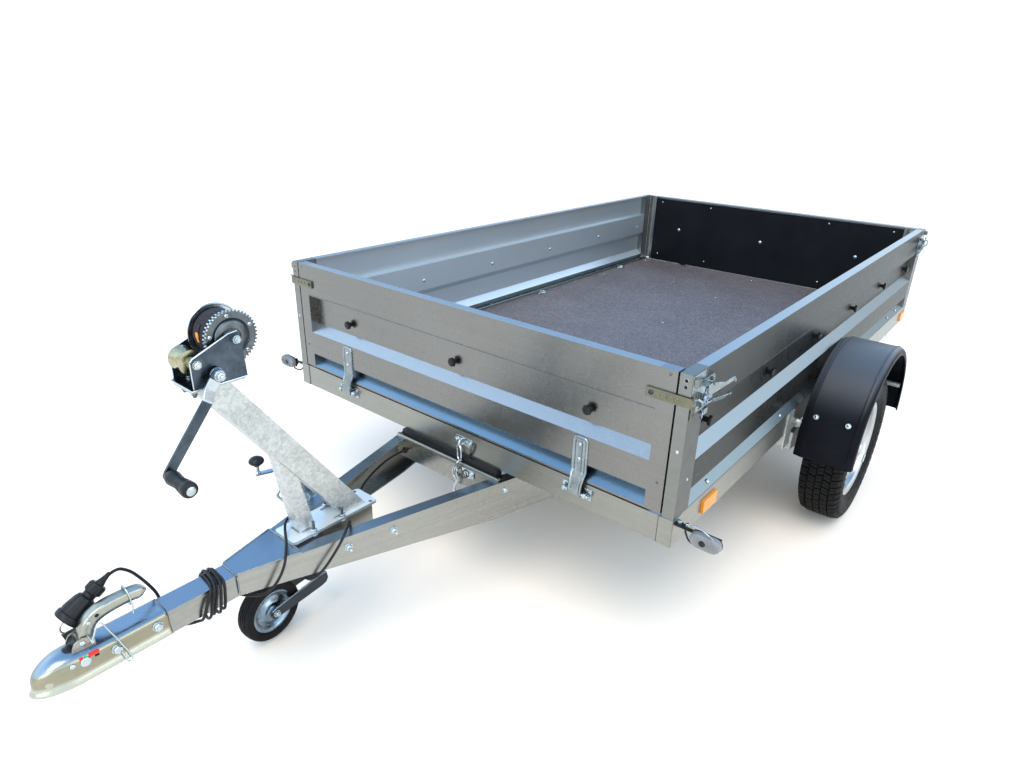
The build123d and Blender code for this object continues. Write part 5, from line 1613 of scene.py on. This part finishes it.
# the free end lies on the turns and ends in a stitched loop
a0, a1 = math.radians(34), math.radians(-4)
vs, K = [], 16
for i in range(K + 1):
    t = a0 + (a1 - a0) * i / K
    for r in (50.2, 52.2):
        for y in (-29, -6):
            vs.append((DX + r * math.cos(t), y, DZ + r * math.sin(t)))
fs = []
for i in range(K):
    b, c = i * 4, (i + 1) * 4
    fs += [(b, b + 1, c + 1, c), (b + 2, c + 2, c + 3, b + 3), (b, c, c + 2, b + 2),
           (b + 1, b + 3, c + 3, c + 1)]
fs += [(0, 2, 3, 1), (K * 4, K * 4 + 1, K * 4 + 3, K * 4 + 2)]
p.use(0).faces(vs, fs)
vs = []
for i in range(7):
    t = math.radians(14 - 3.4 * i)
    w = 3.2 + 1.2 * math.sin(i)
    for r in (52.2, 54.4):
        for y in (-10.5 - w, -10.5 + w):
            vs.append((DX + r * math.cos(t), y + i * 0.9, DZ + r * math.sin(t)))
fs = []
for i in range(6):
    b, c = i * 4, (i + 1) * 4
    fs += [(b, b + 1, c + 1, c), (b + 2, c + 2, c + 3, b + 3), (b, c, c + 2, b + 2),
           (b + 1, b + 3, c + 3, c + 1)]
fs += [(0, 2, 3, 1), (24, 25, 27, 26)]
p.use(1).faces(vs, fs)
strap_o = p.done(smooth=30, bevel=0.3)
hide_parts("winch_strap")

# bright edge strips along the cheeks and the tray, partly bare cut zinc and partly a painted highlight; nuts and
# plate bolts
p = Part("winch_fittings", "drawbar", ZINC, GEAR, BLACKZINC, slot="blue_zinc")
edge_top = [(2038.6, 958), (2033.6, 963.4), (1952, 997.4), (1932, 999.4)]
for s in (1, -1):
    y = s * 43.0
    p.use(0).tube([(x, y, z) for x, z in edge_top], 2.1, 8)
    p.use(0).tube([(2039.4, y, 957), (2039.4, y, 897)], 1.7, 8)
p.use(0).tube([(1923, 45.2, 896.2), (2044.5, 45.2, 896.2), (2044.8, -45, 896.2)], 1.9, 8)
p.use(0).bolt((2027, 45.2, 950), (0, 1, 0), 14, 6.5, 9.5, 1.8, 0.5)
p.lathe([(4.2, 6), (4.2, 10.5), (3.4, 11.4), (0, 11.4)], (2027, 45.2, 950), (0, 1, 0), 16)
p.use(0).bolt((1939, 52.0, 984), (0, 1, 0), 13, 6, 9, 1.2, 0.9)
p.lathe([(3.8, 6), (3.8, 9.5), (0, 10)], (1939, 52.0, 984), (0, 1, 0), 14)
p.use(1).coach((2027, -48.6, 950), (0, -1, 0), 9, 4.4)
p.use(0).bolt((1945, 0, 898), (0, 0, 1), 13, 6, 9, 1.6)
p.use(0).bolt((2014, 26, 898), (0, 0, 1), 12, 5, 8.5, 1.4)
p.use(0).bolt((2014, -26, 898), (0, 0, 1), 12, 5, 8.5, 1.4)
# bolts hanging under the front of the seat
for y in (-20, 22):
    p.use(1).bolt((2031, y, 888), (0, 0, -1), 13, 8, 9, 1.6)
    p.lathe([(3.9, 7), (3.9, 15), (0, 16)], (2031, y, 888), (0, 0, -1), 14)
# ratchet pawl between the cheeks
p.use(1).prism([(1966, 0, 938), (1990, 0, 944), (2004, 0, 936), (2000, 0, 928), (1978, 0, 930)],
               (0, -38, 0), (0, -33, 0))
p.done(smooth=32, bevel=0.3)

p = Part("winch_crank_arm", "winch_crank", ARM, ZINC, BLUE, slot="blue_zinc")
p.use(2).lathe([(15.4, 51.4), (15.4, 56), (13.0, 57), (13.0, 66.4), (0, 66.4), (0, 51.4)],
               (1993, 0, 922), (0, 1, 0), 36)
p.use(1).lathe([(8.2, 24), (8.2, 51.4), (0, 51.4), (0, -50), (8.2, -50), (8.2, 24)],
               (1993, 0, 922), (0, 1, 0), 24)
U = Vector((116.0, 0, -143.0)).normalized()
V = Vector((0, 1, 0)).cross(U)
C0 = Vector((1995.0, 0, 924.0))
stations = [(-13, 59.5, 6.0), (-9, 59.5, 10.5), (0, 59.5, 13.2), (12, 59.5, 13.4), (30, 59.5, 12.6),
            (36, 60.2, 12.2), (52, 71.2, 11.6), (58, 72.0, 11.4), (140, 72.0, 11.2),
            (214, 72.0, 10.8), (224, 72.0, 9.0), (229, 72.0, 5.0)]
q = []
for s, y, w in stations:
    for yy in (y, y + 5.0):
        for side_ in (-1, 1):
            v = C0 + U * s + V * (w * side_)
            q.append((v.x, yy, v.z))
fs = []
K = len(stations)
for i in range(K - 1):
    a4, b4 = i * 4, (i + 1) * 4
    fs += [(a4, a4 + 1, b4 + 1, b4), (a4 + 2, b4 + 2, b4 + 3, a4 + 3), (a4, b4, b4 + 2, a4 + 2),
           (a4 + 1, a4 + 3, b4 + 3, b4 + 1)]
fs += [(0, 2, 3, 1), ((K - 1) * 4, (K - 1) * 4 + 1, (K - 1) * 4 + 3, (K - 1) * 4 + 2)]
p.use(0).faces(q, fs)
for f in p.bm.faces:
    c0 = f.calc_center_median()
    w = Vector((c0.x * 1000 + OX, 0, c0.z * 1000)) - C0
    if f.material_index == 0 and 13 < w.dot(U) < 57:
        f.material_index = 1
p.use(1).bolt((1993, 66, 922), (0, 1, 0), 17, 8, 11.5, 1.8, 0.6)
p.lathe([(5.2, 8), (5.2, 13), (4.2, 14), (0, 14)], (1993, 66, 922), (0, 1, 0), 18)
p.use(0).lathe([(0, 73), (6.0, 73), (6.0, 90), (0, 90)], (2132, 0, 754), (0, 1, 0), 20)
p.use(1).lathe([(9.6, 0), (9.6, 1.4), (7.4, 2.0), (7.4, 4.8), (0, 5.2)], (2132, 72.0, 754),
               (0, -1, 0), 20)
crank_o = p.done(smooth=34, bevel=0.6)
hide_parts("winch_crank")

p = Part("winch_grip", "winch_crank", KNOBPL, ZINC, slot="black_plastic")
p.use(0).lathe([(6.3, 80.5), (11.5, 80.5), (13.4, 82.5), (14.2, 86), (15.6, 93), (15.0, 101),
                (13.4, 111), (12.6, 121), (13.2, 132), (15.0, 143), (16.8, 152), (17.0, 158),
                (15.8, 162.5), (12.6, 164.6), (6.3, 164.8)],
               (2132, 0, 754), (0, 1, 0), 40, closed=True)
for y in (96, 104, 112, 120, 128, 136, 144):
    r = curve_at([(80, 13), (93, 15.6), (121, 12.6), (152, 16.8), (170, 16)], y)
    p.lathe([(r - 0.4, -1.4), (r + 0.35, -0.5), (r + 0.35, 0.5), (r - 0.4, 1.4)],
            (2132, y, 754), (0, 1, 0), 36, closed=True)
p.use(1).lathe([(6.2, 84), (6.2, 163.8), (9.8, 164.4), (9.6, 166.6), (6.8, 168.4), (0, 168.8),
                (0, 84)], (2132, 0, 754), (0, 1, 0), 26)
grip_o = p.done(smooth=40)
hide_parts("winch_crank_grip")

# ---------------------------------------------------------------------------
# Jockey wheel: knob, clamp screw, tube collar, pressed wheel and grooved tyre
# ---------------------------------------------------------------------------
JX, JY = 1692.0, -168.0
p = Part("jockey_knob", "jockey_crank", KNOBPL, ZINC, slot="black_plastic")
p.use(0).lathe([(5.6, 521), (8.2, 521), (8.8, 524), (10.4, 527), (17.6, 529.6), (20.4, 533.4),
                (20.2, 538), (17.0, 543), (11.4, 546.6), (5.6, 548.4), (0, 548.8), (0, 534),
                (5.6, 534)], (1801, -204, 0), (0, 0, 1), 34)
p.use(0)
knob_o = p.done(smooth=40)
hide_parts("jockey_crank_knob")
p = Part("jockey_crank_nut", "jockey_crank", ZINC, slot="galvanised")
p.bolt((JX, JY, 501.6), (0, 0, 1), 14, 6.5, 9.8, 1.5)
p.lathe([(4.2, 6.5), (4.2, 10), (0, 10.6)], (JX, JY, 501.6), (0, 0, 1), 14)
p.lathe([(7.4, 498), (7.4, 501), (5.2, 503), (0, 503)], (1801, -204, 0), (0, 0, 1), 18)
p.done(smooth=35, bevel=0.3)

p = Part("jockey_fittings", "drawbar", ZINC, BLUE, GEAR, slot="galvanised")
p.use(0).lathe([(24.1, 0), (26.2, 0.6), (26.4, 4), (24.1, 5)], (JX, JY, 480), (0, 0, 1), 40,
               closed=True)
p.use(0).lathe([(24.1, 0), (25.8, 0.6), (26.0, 3), (24.1, 4)], (JX, JY, 216), (0, 0, 1), 40,
               closed=True)
for z in (362, 388):
    p.use(0).bolt((1722, -161.8 + 0, z), (0, -1, 0), 12, 5.5, 8.5, 1.4)
p.use(2).lathe([(9, 0), (9, 10), (7, 12), (5, 12), (5, 20), (0, 20), (0, 0)],
               (1714.4, -172.8, 392),
               (0.94, -0.2, 0.1), 20)
p.use(0).tube([(1770, -168.6, 420), (1774, -168, 431), (1764, -167, 447), (1752, -166, 467),
               (1750, -166, 471)], [4.4, 4.8, 4.8, 4.4, 3.0], 12)
p.done(smooth=38, bevel=0.3)

turn = math.radians(5.36)


def parked(x, y, z):
    """Point of the wheel drawn straight ahead, swung to its parked angle."""
    dx, dy = x - JX, y - JY
    return (JX + dx * math.cos(turn) - dy * math.sin(turn),
            JY + dx * math.sin(turn) + dy * math.cos(turn), z)


WAX = (-math.sin(turn), math.cos(turn), 0)
WC = parked(1853, JY, 92)
p = Part("jockey_wheel_disc", "jockey_wheel", BLUE, ZINC, GEAR, slot="galvanised")
for s in (1, -1):
    ax = tuple(c * s for c in WAX)
    if s == 1:
        prof = [(6.4, 26.8), (13, 26.8), (14.6, 25.6), (15.4, 20), (19, 17.6), (24, 17.2),
                (27, 18.6), (30, 18.2), (34, 14.4), (40, 11), (45, 9.4), (48, 9.6), (52, 13.2),
                (56, 17.4), (59, 18.6), (62, 18.8), (64.6, 18.4), (64.6, 15.6), (60, 15.2),
                (56, 13), (52, 9.2), (47, 6.4), (40, 6.8), (32, 11), (28, 13.6), (18, 13.4),
                (12, 15), (6.4, 15)]
    else:
        prof = [(6.4, 26.8), (13, 26.8), (14.6, 25.6), (15.4, 6), (24, 2), (34, -2), (45, -4),
                (50, 0), (56, 15), (64.6, 17), (64.6, 14), (58, 12), (52, -2), (45, -6.2),
                (34, -5), (20, -1), (12, 2), (6.4, 2)]
    p.use(0).lathe(prof, WC, ax, 64, closed=True)
p.use(0).lathe([(64.4, 17), (63.0, 17), (63.0, -17), (64.4, -17)], WC, WAX, 64, closed=True)
for i in range(6):
    t = 2 * math.pi * i / 6
    q = Vector(WC) + Vector(WAX) * 9.3 + (Vector((0, 0, 1)) * math.sin(t)
                                          + Vector(WAX).cross(Vector((0, 0, 1))) * math.cos(t)) * 46
    p.use(2).rivet(tuple(q), WAX, 3.2, 1.6)
disc_o = p.done(smooth=38)
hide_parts("jockey_wheel_hub")

p = Part("jockey_tyre", "jockey_wheel", RUBBER, slot="tyre")
half = [(64.2, 18.6), (66, 21.2), (70, 22.8), (76, 23.8), (82, 23.6), (86, 22.2), (89, 19.8),
        (90.4, 16.4), (90.9, 13.2), (89.0, 12.6), (89.0, 10.6), (91.3, 10.0), (91.9, 5.4),
        (89.8, 4.9), (89.8, 2.9), (92, 2.4), (92, 0)]
prof = half + [(r, -h) for r, h in half[::-1][1:]]
p.lathe(prof, WC, WAX, 80, closed=True)
tyre_o = p.done(smooth=32)
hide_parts("jockey_wheel_tyre")

p = Part("jockey_fork_fittings", "jockey_fork", ZINC, BLUE, DARKPAINT, slot="dark_paint")
for s in (1, -1):
    ax = tuple(c * s for c in WAX)
    q = Vector(parked(1853, JY + s * 34, 92))
    p.use(0).bolt(tuple(q), ax, 15, 7, 10.5, 1.8, 0.4)
    p.lathe([(4.4, 7), (4.4, 11.5), (0, 12)], tuple(q), ax, 16)
    # rolled edge along the top of the blades
    edge = [(1670, 118.6), (1690, 120.8), (1740, 117.8), (1796, 113.4), (1850, 108.8), (1866, 103.6)]
    p.use(1).tube([parked(x, JY + s * 32.6, z) for x, z in edge], 2.3, 8)
p.use(1).lathe([(24.2, 104), (26.4, 105), (26.4, 109), (24.2, 110)], (JX, JY, 0), (0, 0, 1), 40,
               closed=True)
p.done(smooth=36, bevel=0.3)

# ---------------------------------------------------------------------------
# Coupling head: pressed shell with flared skirt, swelling over the ball
# ---------------------------------------------------------------------------
CR, CS = 2176.0, 2354.0


def head_ring(inset, z):
    w = 36.0 - inset
    a = 80.0 - inset
    pts = []
    for i in range(22):
        pts.append((CR + (CS - CR) * i / 22, w))
    for i in range(41):
        t = math.pi / 2 - math.pi * i / 40
        pts.append((CS + a * math.cos(t), w * math.sin(t)))
    for i in range(22):
        pts.append((CS - (CS - CR) * (i + 1) / 22, -w))
    out = []
    for x, y in pts:
        k = 1.0 - 0.34 * (max(0.0, x - CS) / 80.0) ** 2
        zz = 356.0 + (z - 356.0) * k
        if z > 405:
            r2 = ((x - 2386) / 38.0) ** 2 + (y / 30.0) ** 2
            zz += 8.0 * math.exp(-r2)
            r3 = ((x - 2250) / 90.0) ** 2 + (y / 26.0) ** 2
            zz -= 1.2 * math.exp(-r3)
        out.append((x, y, zz))
    return out


p = Part("coupling_shell", "drawbar", COUPLING, slot="yellow_zinc")
LEVELS = [(-6.4, 356.0), (-6.8, 358.0), (-5.2, 362.5), (-2.6, 368.5), (-0.4, 373.5), (0.2, 382),
          (0.6, 397), (1.6, 403), (4.2, 408.4), (8.5, 411.8), (14, 413.4), (21, 414.2),
          (29, 414.8), (35.8, 415.0)]
rings = [head_ring(i, z) for i, z in LEVELS]
N = len(rings[0])
vs = [v for r in rings for v in r]
fs = []
for j in range(len(rings) - 1):
    for i in range(N - 1):
        a, b = j * N + i, (j + 1) * N + i
        fs.append((a, a + 1, b + 1, b))
# crown: pairs of points across the middle
top = (len(rings) - 1) * N
for i in range(N // 2):
    a, b = top + i, top + i + 1
    c, d = top + N - 2 - i, top + N - 1 - i
    if b < c:
        fs.append((a, b, c, d))
    elif b == c:
        fs.append((a, b, d))
p.faces(vs, fs)
bmesh.ops.remove_doubles(p.bm, verts=p.bm.verts[:], dist=0.00005)
bmesh.ops.recalc_face_normals(p.bm, faces=p.bm.faces)
shell_o = p.done(smooth=50, recalc=False)
s = shell_o.modifiers.new("thick", "SOLIDIFY")
s.thickness = 0.0034
s.offset = -1
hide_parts("coupling_head")

p = Part("coupling_cup", "drawbar", OLIVE, slot="yellow_zinc")
prof = [(26.2, 353)] + [(26.2 * math.cos(math.radians(t)), 378 + 26.2 * math.sin(math.radians(t)))
                        for t in range(0, 90, 10)] + [(0, 404.2), (0, 406.6)] + \
    [(28.8 * math.cos(math.radians(t)), 378 + 28.6 * math.sin(math.radians(t)))
     for t in range(80, -1, -10)] + [(28.8, 353)]
p.lathe(prof + [(26.2, 353)], (2398, 0, 0), (0, 0, 1), 40)
p.done(smooth=50)

p = Part("coupling_fittings", "drawbar", ZINC, HOLE_SHADE, REDPL, GREENPL, KNOBPL, OLIVE,
         slot="galvanised")
for s in (1, -1):
    for x, z in ((2285, 389), (2202, 390)):
        p.use(0).bolt((x, s * 35.6, z), (0, s, 0), 17, 7.5, 11.5, 2.0, 0.4)
    p.use(0).lathe([(4.8, 8), (4.8, 12), (0, 12.6)], (2202, s * 35.6, 390), (0, s, 0), 16)
    p.use(0).coach((2366, s * 34.4, 400), (0, s, 0), 6.0, 3.0)
# indicator disc with its marks on the near side
p.use(0).lathe([(10.5, -1), (10.5, 1.6), (9.4, 2.6), (0, 3.0)], (2343, 35.2, 397), (0, 1, 0), 28)
p.use(2).box(2345.5, 2352, 30.5, 36.2, 402.0, 410.0)
p.use(2).box(2316, 2335, 30.5, 36.2, 403.5, 410.0)
p.use(3).box(2338.5, 2343, 30.5, 36.0, 405.5, 409.4)
# dark slot in the side: painted shade
p.use(1).box(2317.5, 2325.5, 33.5, 36.6, 397.5, 401.5)
# grease and bolt holes of the top, drawn as dark discs of painted shade
for x, y in ((2198, -1), (2289, -12)):
    p.use(1).lathe([(4.4, 0), (4.4, 0.35), (0, 0.35)], (x, y, 414.0 - (1.2 if x > 2280 else 0.9)),
                   (0, 0, 1), 18)
p.use(5).ring_tube([(2198 + 5.2 * math.cos(t * math.pi / 12), -1 + 5.2 * math.sin(t * math.pi / 12),
                     413.6) for t in range(24)], 0.8, 6)
p.use(4).lathe([(14, -3), (14, 5), (12, 9.0), (7, 11.2), (0, 11.6)], (2361, 0, 410.5), (0.12, 0, 1), 26)
p.done(smooth=34, bevel=0.35)

# handle: pressed channel with a rounded grip
KEY = [(2341, 418), (2338, 436), (2333, 452), (2324, 468), (2309, 480), (2288, 487),
       (2258, 489.6), (2228, 488.6), (2208, 484), (2197, 475)]


def catmull(pts, n=6):
    out = []
    m = len(pts)
    for i in range(m - 1):
        p0 = Vector(pts[max(0, i - 1)])
        p1, p2 = Vector(pts[i]), Vector(pts[i + 1])
        p3 = Vector(pts[min(m - 1, i + 2)])
        for k in range(n):
            t = k / n
            out.append(tuple(0.5 * ((2 * p1) + (p2 - p0) * t + (2 * p0 - 5 * p1 + 4 * p2 - p3) * t * t
                                    + (3 * p1 - p0 - 3 * p2 + p3) * t ** 3)))
    out.append(tuple(pts[-1]))
    return out


path = catmull(KEY, 6)
p = Part("coupling_lever", "drawbar", YELLOW, slot="yellow_zinc")
M = len(path)
prev = None
rows = []
for i, (x, z) in enumerate(path):
    x0, z0 = path[max(0, i - 1)]
    x1, z1 = path[min(M - 1, i + 1)]
    t = Vector((x1 - x0, z1 - z0)).normalized()
    nx, nz = t.y, -t.x
    f = i / (M - 1)
    depth = 22.0 + 3.0 * math.sin(math.pi * min(1.0, f * 1.25))
    wide = 13.6
    if f > 0.9:
        g = (f - 0.9) / 0.1
        wide = 13.6 * math.sqrt(max(0.05, 1 - 0.55 * g * g))
        depth = depth * (1 - 0.25 * g)
    sec = [(-wide, -depth), (-wide, -depth * 0.6), (-wide, -4.4), (-wide + 1.0, -1.8),
           (-wide + 3.2, -0.3), (-wide + 6.5, 0.2), (0, 0.45), (wide - 6.5, 0.2),
           (wide - 3.2, -0.3), (wide - 1.0, -1.8), (wide, -4.4), (wide, -depth * 0.6),
           (wide, -depth)]
    rows.append([(x + nx * v, u, z + nz * v) for u, v in sec])
S = len(rows[0])
vs = [v for r in rows for v in r]
fs = []
for i in range(M - 1):
    for k in range(S - 1):
        a, b = i * S + k, (i + 1) * S + k
        fs.append((a, a + 1, b + 1, b))
base = (M - 1) * S
fs.append(tuple(base + k for k in range(S)))
p.faces(vs, fs)
bmesh.ops.recalc_face_normals(p.bm, faces=p.bm.faces)
lever_o = p.done(smooth=45, recalc=False)
s = lever_o.modifiers.new("thick", "SOLIDIFY")
s.thickness = 0.0024
s.offset = -1
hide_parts("coupling_handle")

p = Part("lever_fittings", "drawbar", YELLOW, ZINC, KNOBPL, GEAR, slot="yellow_zinc")
for s in (1, -1):
    out = [(2313, 0, 409), (2358, 0, 409), (2357, 0, 424), (2350, 0, 436), (2338, 0, 441),
           (2324, 0, 438), (2314, 0, 426)]
    p.use(0).prism(out, (0, s * 15.0, 0), (0, s * 18.0, 0))
    p.use(1).coach((2336, s * 18.0, 428), (0, s, 0), 6.4, 3.2)
p.use(1).lathe([(0, -18), (4.4, -18), (4.4, 18), (0, 18)], (2336, 0, 428), (0, 1, 0), 16)
p.use(3).lathe([(0, -13.4), (3.4, -13.4), (3.4, 13.4), (0, 13.4)], (2318, 0, 462), (0, 1, 0), 14)
for s in (1, -1):
    p.use(1).coach((2316, s * 13.8, 464), (0, s, 0), 4.6, 2.2)
    # dark discs for the holes in the lever: painted shade
    p.use(2).lathe([(4.2, 0), (4.2, 0.35), (0, 0.35)], (2299, s * 13.7, 473), (0, s, 0), 16)
# spring clip round the grip
clip = [(2236, 16.5, 437), (2233, 16.8, 452), (2234, 16.8, 470), (2236, 15.2, 490),
        (2236.5, 9, 496.5), (2237, 0, 498), (2236.5, -9, 496.5), (2236, -15.2, 490),
        (2235, -16.8, 472), (2235, -15, 462), (2235.5, -6, 457), (2236, 4, 457),
        (2236, 13, 460), (2236, 16.6, 468)]
p.use(1).tube(catmull(clip, 5), 1.7, 8)
# wire clip and its loop on the near side
wire = [(2323, 34, 436), (2317, 37, 452), (2311, 40, 468), (2304, 40.5, 473), (2298, 41.5, 464),
        (2292, 43, 446), (2284, 45, 424), (2278, 46.5, 405), (2272, 47.5, 386), (2267, 48, 368),
        (2265, 48, 358), (2269, 48, 352), (2275, 48, 356), (2277, 47.8, 368), (2281, 47, 384)]
p.use(1).tube(catmull(wire, 5), 1.9, 8)
p.use(1).lathe([(3.2, -4), (3.2, 20), (0, 20)], (2323, 18, 436), (0, 1, 0), 12)
p.done(smooth=38, bevel=0.3)

# plug holder: a bolt and a ring
p = Part("holder_fittings", "drawbar", OLIVE, ZINC, slot="yellow_zinc")
p.use(1).bolt((2332, -39, 396), (0, -1, 0), 12, 5, 8.5, 1.4)
p.use(0).ring_tube([(2339 + 16 * math.cos(t * math.pi / 14), -39.5,
                     441 + 16 * math.sin(t * math.pi / 14)) for t in range(28)], 2.0, 8)
p.done(smooth=38, bevel=0.3)

# ---------------------------------------------------------------------------
# Drawbar: side bolts, studs of the foot plate, weld beads, lip of the cross
# member, hinge bolts
# ---------------------------------------------------------------------------
def rail_side(x):
    return 33.0 + 0.2663 * (2012.0 - x)


RN = Vector((0.2663, 1.0, 0)).normalized()
p = Part("drawbar_bolts", "drawbar", ZINC, GEAR, HOLE_SHADE, slot="galvanised")
for s in (1, -1):
    n = (RN.x, s * RN.y, 0)
    for x, z in ((1746, 376), (1622, 378)):
        q = (x, s * rail_side(x), z)
        p.use(0).bolt(q, n, 15, 7, 11, 2.0, 0.5)
        p.use(0).lathe([(4.2, 7), (4.2, 19), (3.4, 20), (0, 20)], q, n, 16)
    for x, out in ((1800, 30), (1711, 26)):
        p.use(0).bolt((x, s * 37.5, 422), (0, 0, 1), 13, 6.5, 9.6, 1.8, 0.3)
        p.use(1).lathe([(3.9, 6), (3.9, out), (3.2, out + 1), (0, out + 1)], (x, s * 37.5, 422),
                       (0, 0, 1), 16)
        p.use(0).bolt((x, s * 37.5, 414), (0, 0, -1), 13, 5, 9.0, 1.6, 0.3)
    p.use(0).bolt((1636, s * 12, 422), (0, 0, 1), 12, 5, 8.4, 1.6, 0.3)
    for x in (1270, 640, -135):
        y = rail_side(x)
        p.use(0).bolt((x, s * y, 378), n, 13, 5.5, 9.2, 1.8, 0.5)
    p.use(0).coach((-130, s * 588.2, 424), (0, s, 0), 8.5, 3.0)
p.done(smooth=34, bevel=0.35)


def weld(p, path, r=2.6):
    """Row of overlapping beads along a path."""
    pts = [Vector(q) for q in path]
    for a, b in zip(pts[:-1], pts[1:]):
        n = max(2, int((b - a).length / 3.4))
        rr = []
        cc = []
        for i in range(n * 2 + 1):
            cc.append(tuple(a.lerp(b, i / (2 * n))))
            rr.append(r if i % 2 else r * 0.82)
        rr[0] = rr[-1] = r * 0.4
        p.tube(cc, rr, 8)


p = Part("drawbar_welds", "drawbar", STRAPZ, FRAME, DARKPAINT, slot="galvanised")
p.use(0)
weld(p, [(1696, -29, 423), (1733, -29, 423)], 3.0)
weld(p, [(1696, 29, 423), (1733, 29, 423)], 3.0)
weld(p, [(1702, -28, 422.6), (1702, 28, 422.6)], 2.8)
weld(p, [(1786, 20, 423), (1826, 20, 423)], 2.8)
weld(p, [(1786, -20, 423), (1826, -20, 423)], 2.8)
weld(p, [(1829, -19, 423), (1829, 19, 423)], 2.8)
weld(p, [(1862, -70, 411), (1862, 70, 411)], 2.6)
weld(p, [(2010, -32, 411), (1864, -71, 411)], 2.4)
weld(p, [(2010, 32, 411), (1864, 71, 411)], 2.4)
for s in (1, -1):
    weld(p, [(2013, s * 33, 352), (2013, s * 33, 404)], 2.2)
weld(p, [(2013, -32, 408), (2013, 32, 408)], 2.2)
# folded lip along the front of the cross member
p.use(1).prism([(1280.5, 0, 404), (1290.4, 0, 404), (1290.4, 0, 417.5), (1289.0, 0, 418.5),
                (1281.6, 0, 418.5), (1280.5, 0, 417.5)], (0, -221, 0), (0, 221, 0))
# mill line along the tongue
for s in (1, -1):
    p.use(1).tube([(2020, s * 30.1, 398), (2174, s * 30.1, 398)], 0.5, 6)
p.done(smooth=60)

# ---------------------------------------------------------------------------
# Position lamps, their brackets and wire loops
# ---------------------------------------------------------------------------
def stadium(y, z, w, h, n=10):
    """Rounded-end outline in Y and Z."""
    r = h / 2
    pts = []
    for i in range(n + 1):
        t = -math.pi / 2 + math.pi * i / n
        pts.append((y + w / 2 - r + r * math.cos(t), z + r * math.sin(t)))
    for i in range(n + 1):
        t = math.pi / 2 + math.pi * i / n
        pts.append((y - w / 2 + r + r * math.cos(t), z + r * math.sin(t)))
    return pts


p = Part("position_lamps", "bed", CLEAR, BLACKPL, PLATEPL, slot="clear_lens")
secs = [(1264.2, 80, 40, 1), (1267.5, 80, 40, 1), (1267.6, 78.4, 38.4, 0), (1278.6, 78.0, 38.0, 0),
        (1282.0, 75.0, 35.0, 0), (1283.8, 69.5, 29.5, 0), (1284.2, 60, 20, 0)]
stack = []
for x, w, h, _ in secs:
    stack.append([(x, a, b) for a, b in stadium(857, 498, w, h)])
n = len(stack[0])
vs = [v for r in stack for v in r]
for j in range(len(stack) - 1):
    pass
fs = []
vsall = [p.bm.verts.new(P(*v)) for v in vs]
for j in range(len(stack) - 1):
    for i in range(n):
        f = p.bm.faces.new([vsall[j * n + i], vsall[j * n + (i + 1) % n],
                            vsall[(j + 1) * n + (i + 1) % n], vsall[(j + 1) * n + i]])
        f.material_index = 1 if j < 1 else 0
f = p.bm.faces.new([vsall[i] for i in range(n)][::-1])
f.material_index = 1
p.bm.faces.new([vsall[(len(stack) - 1) * n + i] for i in range(n)])
# lens ribs and the bulb boss
for i in range(11):
    y = 830 + i * 5.4
    half = 17.0 if 838 < y < 876 else 12.5
    p.use(0).tube([(1283.6, y, 498 - half), (1284.6, y, 498), (1283.6, y, 498 + half)], 0.9, 6)
p.use(1).lathe([(8.5, -1), (8.5, 0.6), (6.8, 1.2), (0, 1.3)], (1284.1, 852, 498), (1, 0, 0), 22)
flip(p, "y")
lamp_o = p.done(smooth=34)
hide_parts("front_lamps")

p = Part("lamp_wires", "bed", BLACKPL, ZINC, slot="black_plastic")
p.use(0).tube(catmull([(1258, 800, 502), (1250, 794, 490), (1254, 806, 472), (1262, 826, 470),
                       (1264, 842, 478), (1262, 850, 486)], 6), 2.4, 8)
p.use(0).box(1252, 1264.5, 826, 888, 486, 510)
p.use(1).tube(catmull([(1268, 812, 520), (1274, 824, 530), (1278, 842, 531), (1280, 862, 526),
                       (1279, 876, 517)], 6), 1.5, 8)
for y in (776, 796):
    p.use(1).bolt((1247, y, 505), (0, 0, 1), 9, 3.8, 6.2, 1.4)
flip(p, "y")
p.done(smooth=40)
